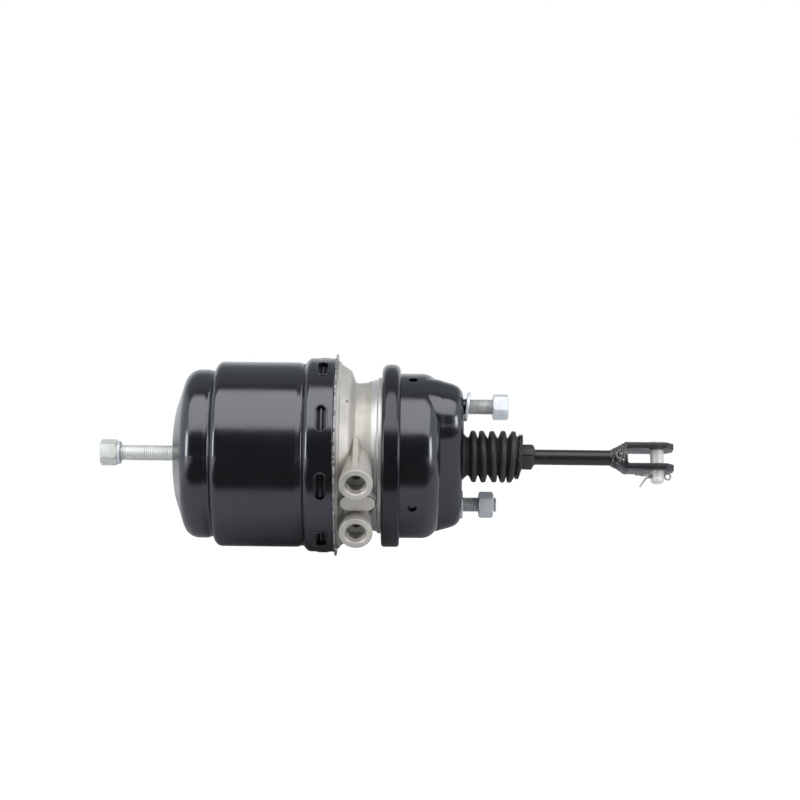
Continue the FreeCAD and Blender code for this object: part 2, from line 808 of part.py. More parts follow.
def make_spring_piston():
    """Die-cast disc with a deep rim for its seal and guide ring, and a boss for the tube."""
    rim = bore_radius - piston_clearance
    inner = rim - piston_rim_wall
    back_x = piston_x - piston_back_step
    front_x = back_x + piston_rim_width
    web_x = piston_x + piston_web
    boss_x = web_x + piston_boss_length
    boss = tube_radius + piston_boss_wall
    disc = turned([
        (back_x, rim, 1.0), (front_x, rim, 1.0), (front_x, inner, 1.0), (web_x, inner - 2, 5.0),
        (web_x, boss, 4.0), (boss_x, boss - piston_boss_taper, 1.0), (boss_x, tube_radius + seat_clearance),
        (piston_x, tube_radius + seat_clearance), (piston_x, power_large_radius + power_wire_radius + 2, 1.0),
        (back_x, power_large_radius + power_wire_radius + 3.5, 1.0)])
    half = piston_seal_width / 2 + piston_groove_play
    disc = disc.cut(tube(piston_seal_x - half, piston_seal_x + half, rim + 1, rim - piston_seal_depth))
    half = piston_guide_width / 2 + piston_groove_play
    return disc.cut(tube(piston_guide_x - half, piston_guide_x + half, rim + 1, rim - piston_guide_depth))


def make_piston_seal():
    """U-section seal ring."""
    outer = bore_radius - seal_clearance
    floor = bore_radius - piston_clearance - piston_seal_depth + seat_clearance
    back_x = piston_seal_x - piston_seal_width / 2
    front_x = piston_seal_x + piston_seal_width / 2
    return turned([
        (back_x, floor), (back_x, outer - 0.8), (front_x, outer), (front_x, outer - 1.2),
        (piston_seal_x, floor + 2.0, 0.5), (front_x, floor + 1.2), (front_x, floor)])


def make_piston_guide():
    outer = bore_radius - seal_clearance
    floor = bore_radius - piston_clearance - piston_guide_depth + seat_clearance
    half = piston_guide_width / 2
    return tube(piston_guide_x - half, piston_guide_x + half, outer, floor, 0.3)


def make_piston_tube():
    """Tube through the hub, with the collar that the release washer pulls on."""
    bore = tube_radius - tube_wall
    front_x = dish_floor_x - nose_disc_thickness
    return turned([
        (piston_x, release_bolt_radius + 0.6), (piston_x, tube_radius), (front_x, tube_radius),
        (front_x, bore), (piston_x + collar_thickness, bore),
        (piston_x + collar_thickness, release_bolt_radius + 0.6)])


def make_tube_nose():
    """Disc that closes the tube and presses on the diaphragm."""
    start_x = dish_floor_x - nose_disc_thickness
    bore = tube_radius - tube_wall - seat_clearance
    plug_x = start_x - nose_plug_length
    return turned([
        (plug_x, 0), (plug_x, bore - nose_chamfer), (plug_x + nose_chamfer, bore), (start_x, bore),
        (start_x, nose_disc_radius), (dish_floor_x, nose_disc_radius - nose_chamfer, 0.8), (dish_floor_x, 0)])


def make_guide_bush():
    inner = tube_radius + seal_clearance
    start_x = hub_end_x + 2
    return tube(start_x, start_x + bush_length, inner + bush_wall, inner, 0.4)


def make_tube_seals():
    """Two lip seals in the hub, one towards each chamber."""
    inner = tube_radius + seal_clearance
    outer = hub_bore_radius - seat_clearance
    rings = []
    for start_x in (hub_end_x + bush_length + tube_seal_gap, dish_floor_x - tube_seal_setback):
        end_x = start_x + tube_seal_width
        rings.append(turned([
            (start_x, inner), (start_x, outer), (end_x, outer), (end_x, inner + 3.4),
            (start_x + 2, inner + 2.0, 0.5), (end_x, inner + 0.8), (end_x, inner)]))
    return Part.makeCompound(rings)


def make_release_bolt():
    end_x = thrust_x + thrust_washer_thickness + 3.5
    shaft_x = release_head_x + release_head_height
    shaft = turned([
        (shaft_x - 1, 0), (shaft_x - 1, release_bolt_radius), (end_x - 1.5, release_bolt_radius),
        (end_x, release_bolt_radius - 1.5), (end_x, 0)])
    return shaft.fuse(hex_prism(release_head_x, release_head_height, release_head_flats, 1.6))


def make_release_washer():
    start_x = release_head_x + release_head_height
    return tube(
        start_x, start_x + release_washer_thickness, release_washer_radius,
        release_bolt_radius + seat_clearance, 0.4)


def make_thrust_washer():
    start_x = thrust_x
    return tube(
        start_x, start_x + thrust_washer_thickness, thrust_washer_radius,
        release_bolt_radius + seat_clearance, 0.6)


def make_push_plate():
    """Pressed disc behind the diaphragm, with a turned rim that centres the return spring."""
    start_x = push_plate_x
    rim_x = start_x + push_plate_wall
    end_x = start_x + push_plate_rim
    return turned([
        (start_x, 0), (start_x, push_plate_radius - 4, 4.0), (end_x - 1, push_plate_radius, 1.0),
        (end_x, push_plate_radius - 3.0, 0.8), (rim_x, push_plate_radius - 6.5, 3.0), (rim_x, rod_radius + 4),
        (rim_x + 6, rod_radius + 4, 1.5), (rim_x + 6, rod_radius + seat_clearance),
        (rim_x, rod_radius + seat_clearance), (rim_x, 0)])


def make_push_rod():
    start_x = push_plate_x + push_plate_wall
    return turned([(start_x, 0), (start_x, rod_radius), (rod_reach, rod_radius), (rod_reach, 0)])


def make_spring_seat():
    """Disc across the ridge's hollow that the return spring stands on."""
    end_x = spring_seat_x
    lip = end_x - spring_seat_wall
    return turned([
        (lip, spring_seat_hole), (lip, spring_seat_radius - 0.6), (end_x - 1, spring_seat_radius),
        (end_x, spring_seat_radius - 0.6), (end_x, spring_seat_hole)])


def make_return_spring():
    large_x = push_plate_x + push_plate_wall + return_wire_radius + 0.3
    small_x = spring_seat_x - spring_seat_wall - return_wire_radius - 0.3
    return coil(
        large_x, return_large_radius, small_x, return_small_radius, return_turns, return_wire_radius)


def make_boot():
    """Folded rubber boot from the housing to the pushrod."""
    neck = boot_hole_radius - seat_clearance
    bead_x = -service_wall - 2.4
    outside = [(bead_x, boot_bead_radius - 0.8), (bead_x + 0.8, boot_bead_radius)]
    outside += [(-service_wall - 0.1, boot_bead_radius), (-service_wall - 0.1, neck), (1.0, neck, 0.8)]
    outside += [(boot_first_fold - 6.0, boot_valley_radius, 1.2)]
    for fold in range(boot_folds):
        peak = boot_first_fold + fold * boot_fold_pitch
        outside += [(peak - 1.6, boot_outer_radius, 1.5), (peak + 1.6, boot_outer_radius, 1.5)]
        outside += [(peak + boot_fold_pitch / 2, boot_valley_radius, 1.2)]
    rib_x = boot_first_fold + (boot_folds - 0.5) * boot_fold_pitch
    cuff_x = boot_length - boot_cuff_length
    outside += [(rib_x + 2.0, boot_rib_radius, 1.0), (cuff_x - 0.6, boot_rib_radius, 1.0)]
    outside += [(cuff_x + 0.6, boot_cuff_radius, 1.2), (boot_length - 2.0, boot_cuff_radius, 3.0)]
    outside += [(boot_length, rod_radius + 1.6, 0.8), (boot_length, rod_radius + boot_rod_clearance)]
    inner = rod_radius + boot_rod_clearance
    under_rib = boot_rib_radius - 3
    inside = [(cuff_x + 2, inner), (cuff_x - 1.0, under_rib, 1.0), (rib_x + 0.6, under_rib, 0.8)]
    for fold in reversed(range(boot_folds)):
        peak = boot_first_fold + fold * boot_fold_pitch
        if fold < boot_folds - 1:
            inside += [(peak + boot_fold_pitch / 2, boot_valley_radius - boot_wall, 1.0)]
        under_peak = boot_outer_radius - boot_wall
        inside += [(peak + 0.7, under_peak, 0.6), (peak - 0.7, under_peak, 0.6)]
    inside += [(boot_first_fold - 6.4, boot_valley_radius - boot_wall, 1.0), (0.0, neck - 2.2, 1.0)]
    inside += [(bead_x, neck - 2.2)]
    return turned(outside + inside)


def clevis_frame(shape):
    """Turns a clevis piece from its upright drawing to its angle round the rod."""
    shape.rotate(vec(0), x_axis, -clevis_turn)
    return shape


def make_clevis():
    """Fork with flat ears, a sloping neck and the weld that joins it to the rod."""
    half_gap = clevis_gap / 2
    half = half_gap + clevis_ear
    tip = clevis_pin_station + clevis_nose
    neck_x = clevis_root - clevis_neck_length
    side = [
        (neck_x + 3, -half + 6), (neck_x + 13, -half), (tip, -half), (tip, -half_gap),
        (clevis_root + 1.5, -half_gap), (clevis_root, -half_gap + 1.5),
        (clevis_root, half_gap - 1.5), (clevis_root + 1.5, half_gap),
        (tip, half_gap), (tip, half), (neck_x + 13, half), (neck_x + 3, half - 6)]
    points = [vec(x, -clevis_width / 2, z) for x, z in side]
    fork = Part.Face(Part.makePolygon(points + [points[0]])).extrude(vec(0, clevis_width))
    half_width = clevis_width / 2
    cut = clevis_nose_chamfer
    plan = [
        (neck_x, -rod_radius), (clevis_root - 2, -half_width), (tip - cut, -half_width),
        (tip, -half_width + cut), (tip, half_width - cut), (tip - cut, half_width),
        (clevis_root - 2, half_width), (neck_x, rod_radius)]
    points = [vec(x, y, -20) for x, y in plan]
    fork = fork.common(Part.Face(Part.makePolygon(points + [points[0]])).extrude(vec(0, 0, 40)))
    hole = bar(vec(clevis_pin_station, 0, -30), vec(0, 0, 1), 60, pin_radius + pin_running_clearance)
    fork = fork.cut(hole)
    weld = turned([
        (rod_reach - 2.0, rod_radius + seat_clearance), (rod_reach + 1.0, rod_radius + 2.6, 1.5),
        (rod_reach + 9.0, rod_radius + 3.2, 2.0), (rod_reach + 12.0, rod_radius),
        (rod_reach + 12.0, 0), (rod_reach, 0), (rod_reach, rod_radius + seat_clearance)])
    return clevis_frame(fork.fuse(weld))


def make_clevis_pin():
    """Pin with a thin head above the ears and a cross hole below them."""
    top = clevis_gap / 2 + clevis_ear + 0.3
    bottom = -clevis_gap / 2 - clevis_ear - pin_tail
    shank = bar(vec(clevis_pin_station, 0, bottom + 1.5), vec(0, 0, 1), top - bottom - 1.5, pin_radius)
    end = Part.makeCone(pin_radius - 1.5, pin_radius, 1.5, vec(clevis_pin_station, 0, bottom))
    head = bar(vec(clevis_pin_station, 0, top), vec(0, 0, 1), pin_head_thickness, pin_head_radius)
    head = head.makeFillet(0.8, [head.Edges[0]])
    pin = shank.fuse(end).fuse(head)
    start = vec(clevis_pin_station - 20, 0, split_z())
    hole = bar(start, x_axis, 40, 2 * split_wire_radius + split_hole_clearance)
    return clevis_frame(pin.cut(hole))


def split_z():
    return -clevis_gap / 2 - clevis_ear - split_pin_stand - split_wire_radius


def make_split_pin():
    """Split pin: an eye on the nose side and two legs out of the other side."""
    z = split_z()
    right = clevis_pin_station + pin_radius
    left = clevis_pin_station - pin_radius
    offset = split_wire_radius + 0.05
    legs = []
    for sign, end in ((1, vec(left - 16, 0, z + 2.0)), (-1, vec(left - 12, -6, z - 12))):
        start = vec(right + 1.0, 0, z + sign * offset)
        knee = vec(left - 1.5, 0, z + sign * offset)
        mid = vec(left - 6, -1.0 if sign < 0 else 0, z + sign * offset - (2.5 if sign < 0 else 0))
        route = Part.BSplineCurve()
        route.interpolate([knee, mid, end], InitialTangent=vec(-1) * 6, FinalTangent=(end - mid))
        path = Part.Wire([Part.LineSegment(start, knee).toShape(), route.toShape()])
        section = Part.Wire(Part.makeCircle(split_wire_radius, start, x_axis))
        legs.append(path.makePipeShell([section], True, True))
    eye = Part.makeTorus(
        3.0, split_wire_radius, vec(right + 1.0 + 2.8, 0, z), vec(0, 1, 0))
    return clevis_frame(legs[0].fuse(legs[1]).fuse(eye))


nodes = {}


def build():
    nodes["spring_housing"] = make_spring_housing()
    nodes["release_insert"] = make_release_insert()
    nodes["retaining_ring"] = ring(slot_x, ring_centre_radius, retaining_wire_radius)
    nodes["flange_body"] = make_flange_body()
    o_ring_centre_radius = o_ring_seat_radius + o_ring_radius + seat_clearance
    nodes["flange_o_ring"] = ring(o_ring_x, o_ring_centre_radius, o_ring_radius)
    nodes["guide_bush"] = make_guide_bush()
    nodes["tube_seals"] = make_tube_seals()
    nodes["diaphragm"] = make_diaphragm()
    nodes["clamp_band"] = make_clamp_band()
    nodes["clamp_bolt"] = make_clamp_bolt()
    nodes["clamp_nut"] = make_clamp_nut()
    nodes["service_housing"] = make_service_housing()
    nodes["vent_plugs"] = make_vent_plugs()
    nodes["stud_plates"] = make_stud_plates()
    nodes["mounting_studs"] = at_studs(make_stud)
    nodes["stud_washers"] = at_studs(make_stud_washer)
    nodes["stud_nuts"] = at_studs(make_stud_nut)
    nodes["boot"] = make_boot()
    nodes["spring_seat"] = make_spring_seat()
    nodes["return_spring"] = make_return_spring()
    nodes["power_spring"] = make_power_spring()
    nodes["spring_piston"] = make_spring_piston()
    nodes["piston_seal"] = make_piston_seal()
    nodes["piston_guide_ring"] = make_piston_guide()
    nodes["piston_tube"] = make_piston_tube()
    nodes["tube_nose"] = make_tube_nose()
    nodes["release_bolt"] = make_release_bolt()
    nodes["release_washer"] = make_release_washer()
    nodes["thrust_washer"] = make_thrust_washer()
    nodes["push_plate"] = make_push_plate()
    nodes["push_rod"] = make_push_rod()
    nodes["clevis"] = make_clevis()
    nodes["clevis_pin"] = make_clevis_pin()
    nodes["split_pin"] = make_split_pin()


if __name__ == "__main__":
    os.makedirs("parts", exist_ok=True)
    build()
    for name, shape in nodes.items():
        shape.exportStep("parts/" + name + ".step")
        box = shape.BoundBox
        print(name, len(shape.Solids), shape.isValid(), round(shape.Volume),
              "x", round(box.XMin, 1), round(box.XMax, 1), "z", round(box.ZMin, 1), round(box.ZMax, 1))
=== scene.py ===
"""Looks of the spring brake chamber: paint, castings, threads, folded boot, weld, lights and camera.

Metres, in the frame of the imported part: X along the pushrod, Z up, the origin in the middle of the
mounting face. An elevation is an angle round X in degrees, from the front (minus Y) towards plus Z,
and a turn is such an angle in radians. Shapes are drawn in millimetres.
"""

import bmesh
import bpy
import json
import math
from functools import partial
from mathutils import Matrix, Vector, noise


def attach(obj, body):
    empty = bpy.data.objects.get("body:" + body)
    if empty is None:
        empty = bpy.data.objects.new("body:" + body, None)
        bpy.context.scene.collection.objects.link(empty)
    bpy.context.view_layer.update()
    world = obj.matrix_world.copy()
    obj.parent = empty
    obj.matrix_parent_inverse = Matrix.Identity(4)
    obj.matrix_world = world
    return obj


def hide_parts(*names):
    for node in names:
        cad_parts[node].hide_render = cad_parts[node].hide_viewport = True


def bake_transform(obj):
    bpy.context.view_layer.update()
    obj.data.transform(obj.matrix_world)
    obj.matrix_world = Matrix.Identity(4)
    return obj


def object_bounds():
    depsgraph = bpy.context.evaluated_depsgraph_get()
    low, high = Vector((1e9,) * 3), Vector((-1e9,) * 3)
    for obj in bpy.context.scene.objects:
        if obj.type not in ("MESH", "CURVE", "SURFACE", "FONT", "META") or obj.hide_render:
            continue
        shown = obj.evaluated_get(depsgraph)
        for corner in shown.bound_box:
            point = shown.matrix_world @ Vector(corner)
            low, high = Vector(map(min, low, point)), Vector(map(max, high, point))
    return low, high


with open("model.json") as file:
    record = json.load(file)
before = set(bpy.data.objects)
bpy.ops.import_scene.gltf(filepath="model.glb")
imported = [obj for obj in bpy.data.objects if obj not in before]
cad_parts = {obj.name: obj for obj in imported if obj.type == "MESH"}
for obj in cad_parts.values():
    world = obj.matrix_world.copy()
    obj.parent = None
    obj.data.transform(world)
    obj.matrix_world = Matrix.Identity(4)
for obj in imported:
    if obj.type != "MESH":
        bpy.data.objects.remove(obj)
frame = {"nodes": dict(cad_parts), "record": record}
cad_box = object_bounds()
parts = frame["nodes"]

MM = 0.001
FULL_TURN = 2 * math.pi
CREASE = 38.0  # Edges that fold by more degrees than this stay sharp

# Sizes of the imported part, in millimetres, and its elevations
STUD_CIRCLE = 60.325
STUD_ELEVATION = 59.0
STUD_LENGTH = 40.7
STUD_HOLE = 8.45
STUD_SIDES = (0, 180)
PORT_ELEVATION = -27.5
PORT_HALF_SPACING = 27.8
PORT_X = -104.6
PORT_FACE = 111.0
PAD_X = PORT_X + 1.5
PAD_STRAIGHT = 9.5
PAD_HALF_WIDTH = 8.2
PAD_FACE = 99.0
SLOT_X = -140.3
SKIRT_RADIUS = 100.4
CLAMP_X = -70.7
CLAMP_RADIUS = 94.8
CLAMP_JOINT = 201.0
CUP_RADIUS = 82.2
CUP_WALL = 3.2
CUP_CORNER = 15.0
CUP_CORNER_X = -39.0
DOME_X = -22.0
DOME_SLOPE = 0.0243
BOOT_HOLE = 28.4
RIDGE_HALF_LENGTH = 67.5
RIDGE_HALF_WIDTH = 29.2
RIDGE_CORNER = 25.0
VENT_X = -48.5
VENT_RADIUS = 4.75
OPEN_VENT = 67.0
PLUGGED_VENTS = (-36.4, 216.4)
WELD_X = 157.2
WELD_LENGTH = 17.0
PIN_X = 206.0
CLEVIS_TURN = math.radians(14.5)


def outward(elevation):
    """Direction away from the X axis."""
    turn = math.radians(elevation)
    return Vector((0, -math.cos(turn), math.sin(turn)))


def upwards(elevation):
    """Direction in which the elevation grows."""
    turn = math.radians(elevation)
    return Vector((0, math.sin(turn), math.cos(turn)))


def on_ring(x, radius, turn):
    return x, -radius * math.cos(turn), radius * math.sin(turn)


def turns_of(count):
    """Even turns round a circle."""
    return [FULL_TURN * index / count for index in range(count)]


def aimed(place, direction):
    """Puts the origin at a place and turns +X into a direction."""
    return Matrix.Translation(place) @ direction.to_track_quat("X", "Z").to_matrix().to_4x4()


def at_stud(side):
    return Matrix.Translation(outward(STUD_ELEVATION + side) * STUD_CIRCLE * MM)


def at_vent(elevation, radius):
    return aimed(Vector((VENT_X * MM, 0, 0)) + outward(elevation) * (radius * MM), outward(elevation))


def at_port(sign):
    """Turns +X into the axis of a port, from its mouth inwards."""
    mouth = Vector((PORT_X, 0, 0)) + outward(PORT_ELEVATION) * PORT_FACE
    mouth += upwards(PORT_ELEVATION) * (sign * PORT_HALF_SPACING)
    return aimed(mouth * MM, -outward(PORT_ELEVATION))


def ease(low, high, value):
    """0 below low, 1 above high, smooth between them."""
    share = min(max((value - low) / (high - low), 0.0), 1.0)
    return share * share * (3 - 2 * share)


def lumps(x, turn, along, around):
    """Smooth noise on a ring round X, finer for larger numbers."""
    return noise.noise(Vector((x * along, math.cos(turn) * around, math.sin(turn) * around)))


def link_to_scene(piece):
    bpy.context.scene.collection.objects.link(piece)
    return piece


# Nodes of shaders and of shapes

SOCKET_KINDS = {float: "Float", int: "Int", bool: "Bool", tuple: "Vector", type(None): "Material"}


def new_tree(name, inputs, output, kind="Shader", gives="Float"):
    """Node group with named inputs, each of the kind of its default value, and one output."""
    tree = bpy.data.node_groups.new(name, kind + "NodeTree")
    for label, value in inputs.items():
        socket_type = "NodeSocket" + SOCKET_KINDS[type(value)]
        socket = tree.interface.new_socket(label, in_out="INPUT", socket_type=socket_type)
        if value is not None:
            socket.default_value = value
    tree.interface.new_socket(output, in_out="OUTPUT", socket_type="NodeSocket" + gives)
    return tree, tree.nodes.new("NodeGroupInput").outputs, tree.nodes.new("NodeGroupOutput").inputs


def set_inputs(made, **values):
    """Sets a node's inputs by name, with underscores for spaces."""
    for label, value in values.items():
        made.inputs[label.replace("_", " ")].default_value = value
    return made


def add_node(tree, kind, links=None, **values):
    """New node with values set by input name and links by name or number."""
    made = set_inputs(tree.nodes.new(kind), **values)
    for label, socket in (links or {}).items():
        tree.links.new(socket, made.inputs[label])
    return made


def maths(tree, operation, first, second=None, third=None, clamp=False):
    made = tree.nodes.new("ShaderNodeMath")
    made.operation = operation
    made.use_clamp = clamp
    for index, value in enumerate((first, second, third)):
        if isinstance(value, (int, float)):
            made.inputs[index].default_value = value
        elif value is not None:
            tree.links.new(value, made.inputs[index])
    return made.outputs[0]


def steps_between(tree, value, low, high):
    """0 below low, 1 above high, smooth between them."""
    made = add_node(tree, "ShaderNodeMapRange", {"Value": value}, From_Min=low, From_Max=high)
    made.interpolation_type = "SMOOTHSTEP"
    return made.outputs["Result"]


def soft_step(tree, value, softness):
    """0 below zero, 1 above it, with an edge of the given width."""
    return maths(tree, "ADD", maths(tree, "DIVIDE", value, softness), 0.5, clamp=True)


def object_point(tree):
    return tree.nodes.new("ShaderNodeTexCoord").outputs["Object"]


def axes_of(tree, point):
    return add_node(tree, "ShaderNodeSeparateXYZ", {0: point}).outputs


# Surface effects shared by several finishes


def make_grain():
    """Even fine grain, as of a blasted casting, a moulded rubber skin or orange peel in paint."""
    group, given, result = new_tree("grain", {"Scale": 400.0, "Coarse": 0.5}, "Height")
    point = object_point(group)
    fine = add_node(group, "ShaderNodeTexNoise", {"Vector": point, "Scale": given["Scale"]}, Detail=3.0)
    larger = maths(group, "MULTIPLY", given["Scale"], 0.22)
    coarse = add_node(group, "ShaderNodeTexNoise", {"Vector": point, "Scale": larger}, Detail=2.0)
    swell = maths(group, "MULTIPLY", coarse.outputs["Fac"], given["Coarse"])
    group.links.new(maths(group, "ADD", fine.outputs["Fac"], swell), result["Height"])
    return group


def make_patches():
    """Soft uneven patches, for stains, worn places and handling marks."""
    group, given, result = new_tree("patches", {"Scale": 30.0, "Share": 0.4, "Edge": 0.12}, "Mask")
    cloud = add_node(group, "ShaderNodeTexNoise", {"Vector": object_point(group), "Scale": given["Scale"]},
                     Detail=6.0, Roughness=0.62)
    above = maths(group, "SUBTRACT", cloud.outputs["Fac"], maths(group, "SUBTRACT", 1.0, given["Share"]))
    group.links.new(soft_step(group, above, given["Edge"]), result["Mask"])
    return group


def make_specks():
    """Small round specks, for dust, spatter and tiny chips."""
    group, given, result = new_tree("specks", {"Scale": 300.0, "Size": 0.18, "Share": 0.3}, "Mask")
    cells = add_node(group, "ShaderNodeTexVoronoi", {"Vector": object_point(group), "Scale": given["Scale"]})
    edge = maths(group, "SUBTRACT", given["Size"], cells.outputs["Distance"])
    round_dot = maths(group, "MULTIPLY", edge, 14.0, clamp=True)
    colour = add_node(group, "ShaderNodeSeparateColor", {"Color": cells.outputs["Color"]})
    kept = maths(group, "LESS_THAN", colour.outputs["Red"], given["Share"])
    group.links.new(maths(group, "MULTIPLY", round_dot, kept), result["Mask"])
    return group


def make_turning_lines():
    """Fine rings round X, as a lathe leaves them."""
    group, given, result = new_tree("turning_lines", {"Spacing": 0.0006}, "Height")
    turns = maths(group, "DIVIDE", axes_of(group, object_point(group))["X"], given["Spacing"])
    wave = maths(group, "SINE", maths(group, "MULTIPLY", turns, FULL_TURN))
    group.links.new(wave, result["Height"])
    return group


def make_past_plane():
    """1 where the point lies further along a direction than a distance."""
    group, given, result = new_tree(
        "past_plane", {"Direction": (1.0, 0.0, 0.0), "Distance": 0.0, "Softness": 0.0004}, "Mask")
    dot = add_node(group, "ShaderNodeVectorMath", {0: object_point(group), 1: given["Direction"]})
    dot.operation = "DOT_PRODUCT"
    past = maths(group, "SUBTRACT", dot.outputs["Value"], given["Distance"])
    group.links.new(soft_step(group, past, given["Softness"]), result["Mask"])
    return group


def make_past_radius():
    """1 where the point lies further from the X axis than a radius."""
    group, given, result = new_tree("past_radius", {"Radius": 0.1}, "Mask")
    axes = axes_of(group, object_point(group))
    across = maths(group, "MULTIPLY", axes["Y"], axes["Y"])
    radius = maths(group, "SQRT", maths(group, "MULTIPLY_ADD", axes["Z"], axes["Z"], across))
    past = maths(group, "SUBTRACT", radius, given["Radius"])
    group.links.new(soft_step(group, past, 0.0004), result["Mask"])
    return group


def make_near_point():
    """1 at a point, falling to 0 at a reach round it."""
    group, given, result = new_tree("near_point", {"Point": (0.0, 0.0, 0.0), "Reach": 0.003}, "Mask")
    gap = add_node(group, "ShaderNodeVectorMath", {0: object_point(group), 1: given["Point"]})
    gap.operation = "DISTANCE"
    share = maths(group, "DIVIDE", gap.outputs["Value"], given["Reach"])
    group.links.new(maths(group, "SUBTRACT", 1.0, share, clamp=True), result["Mask"])
    return group


GRAIN = make_grain()
PATCHES = make_patches()
SPECKS = make_specks()
TURNING = make_turning_lines()
PAST_PLANE = make_past_plane()
PAST_RADIUS = make_past_radius()
NEAR_POINT = make_near_point()


class Finish:
    """A material with one Principled shader, whose colour, roughness and relief are built in layers."""

    def __init__(self, name, colour, roughness, metallic=0.0):
        self.material = bpy.data.materials.new(name)
        self.material.use_nodes = True
        self.material.diffuse_color = (*colour, 1)
        self.tree = self.material.node_tree
        self.tree.nodes.clear()
        self.shader = add_node(self.tree, "ShaderNodeBsdfPrincipled", Base_Color=(*colour, 1),
                               Roughness=roughness, Metallic=metallic)
        add_node(self.tree, "ShaderNodeOutputMaterial", {"Surface": self.shader.outputs[0]})

    def effect(self, group, **values):
        """Output of a shared effect with its own values."""
        node = self.tree.nodes.new("ShaderNodeGroup")
        node.node_tree = group
        return set_inputs(node, **values).outputs[0]

    def mix(self, socket, mask, value):
        """Blends a socket towards a colour or number where the mask is 1."""
        target = self.shader.inputs[socket]
        node = self.tree.nodes.new("ShaderNodeMix")
        colour = isinstance(value, tuple)
        node.data_type = "RGBA" if colour else "FLOAT"
        ends = (6, 7, 2) if colour else (2, 3, 0)
        if target.is_linked:
            self.tree.links.new(target.links[0].from_socket, node.inputs[ends[0]])
        else:
            node.inputs[ends[0]].default_value = target.default_value
        node.inputs[ends[1]].default_value = (*value, 1) if colour else value
        self.tree.links.new(mask, node.inputs[0])
        self.tree.links.new(node.outputs[ends[2]], target)

    def faded(self, mask, share):
        return maths(self.tree, "MULTIPLY", mask, share)

    def relief(self, height, distance):
        """Gives the surface a bump of the given depth in metres."""
        bump = add_node(self.tree, "ShaderNodeBump", {"Height": height}, Distance=distance)
        self.tree.links.new(bump.outputs["Normal"], self.shader.inputs["Normal"])


def gloss_black():
    """Smooth black stove enamel with a little orange peel and dust."""
    finish = Finish("gloss_black_enamel", (0.0016, 0.0017, 0.0026), 0.15)
    set_inputs(finish.shader, Specular_IOR_Level=1.0, Specular_Tint=(0.90, 0.93, 1.0, 1))
    finish.relief(finish.effect(GRAIN, Scale=420.0, Coarse=1.4), 0.00002)
    finish.mix("Roughness", finish.effect(PATCHES, Scale=22.0, Share=0.5, Edge=0.4), 0.24)
    dust = finish.effect(SPECKS, Scale=260.0, Size=0.09, Share=0.14)
    finish.mix("Base Color", finish.faded(dust, 0.35), (0.30, 0.30, 0.32))
    return finish


def chipped_gloss_black():
    """The same enamel, worn and sprayed unevenly on the thin edge of the flared lip."""
    finish = gloss_black()
    edge = finish.effect(PAST_RADIUS, Radius=0.1042)
    chips = finish.faded(finish.effect(PATCHES, Scale=330.0, Share=0.52, Edge=0.10), 0.85)
    bare = maths(finish.tree, "MULTIPLY", edge, chips)
    finish.mix("Base Color", bare, (0.36, 0.36, 0.37))
    finish.mix("Roughness", edge, 0.5)
    return finish


def satin_black():
    """Satin black paint on rolled steel."""
    finish = Finish("satin_black_paint", (0.0028, 0.0029, 0.0040), 0.16)
    set_inputs(finish.shader, Specular_IOR_Level=0.6, Specular_Tint=(0.92, 0.94, 1.0, 1))
    finish.relief(finish.effect(GRAIN, Scale=700.0, Coarse=0.8), 0.000012)
    finish.mix("Roughness", finish.effect(PATCHES, Scale=40.0, Share=0.5, Edge=0.3), 0.24)
    return finish


def blasted_casting():
    """Pale grey blasted aluminium with a bright machined rim under the clamp band, painted shade in a small
    dimple and near-black painted shade inside the spring housing, where the slots show it.
    """
    finish = Finish("blasted_aluminium", (0.50, 0.48, 0.445), 0.48, 0.45)
    finish.mix("Base Color", finish.effect(PATCHES, Scale=24.0, Share=0.5, Edge=0.30), (0.34, 0.325, 0.295))
    ahead = finish.effect(PAST_PLANE, Direction=(1.0, 0.0, 0.0), Distance=-0.0905, Softness=0.0004)
    outside = finish.effect(PAST_RADIUS, Radius=0.0930)
    rim = maths(finish.tree, "SUBTRACT", ahead, outside, clamp=True)
    finish.mix("Base Color", rim, (0.52, 0.515, 0.51))
    finish.mix("Metallic", rim, 0.6)
    finish.mix("Roughness", rim, 0.33)
    # Painted shade: a dark spot that stands for the shade in a small dimple of the casting.
    dimple_shade = finish.effect(NEAR_POINT, Point=(-0.1150, -0.0700, 0.0560), Reach=0.0028)
    finish.mix("Base Color", dimple_shade, (0.05, 0.045, 0.04))
    finish.mix("Base Color", finish.faded(finish.effect(SPECKS, Scale=420.0, Size=0.2, Share=0.3), 0.4),
               (0.36, 0.34, 0.31))
    finish.relief(finish.effect(GRAIN, Scale=1500.0, Coarse=1.0), 0.00012)
    # Painted shade: the casting inside the spring housing, seen only through the slots, is coloured near
    # black.
    inside_shade = finish.effect(PAST_PLANE, Direction=(-1.0, 0.0, 0.0), Distance=0.1266, Softness=0.0006)
    finish.mix("Base Color", inside_shade, (0.006, 0.006, 0.007))
    finish.mix("Metallic", inside_shade, 0.0)
    return finish


def bright_zinc(name, colour, roughness, metallic=0.75):
    """Zinc plate with faint cloudy patches and scuffs."""
    finish = Finish(name, colour, roughness, metallic)
    darker = tuple(channel * 0.78 for channel in colour)
    finish.mix("Base Color", finish.effect(PATCHES, Scale=90.0, Share=0.42, Edge=0.3), darker)
    finish.mix("Roughness", finish.effect(PATCHES, Scale=160.0, Share=0.5, Edge=0.3), roughness + 0.14)
    finish.relief(finish.effect(GRAIN, Scale=2600.0, Coarse=0.8), 0.00003)
    return finish


def turned_steel(name, colour, roughness):
    """Turned steel, oiled, with fine rings round its axis."""
    finish = Finish(name, colour, roughness, 0.9)
    finish.relief(finish.effect(TURNING, Spacing=0.0005), 0.00001)
    finish.mix("Roughness", finish.effect(PATCHES, Scale=70.0, Share=0.45, Edge=0.3), roughness + 0.12)
    return finish


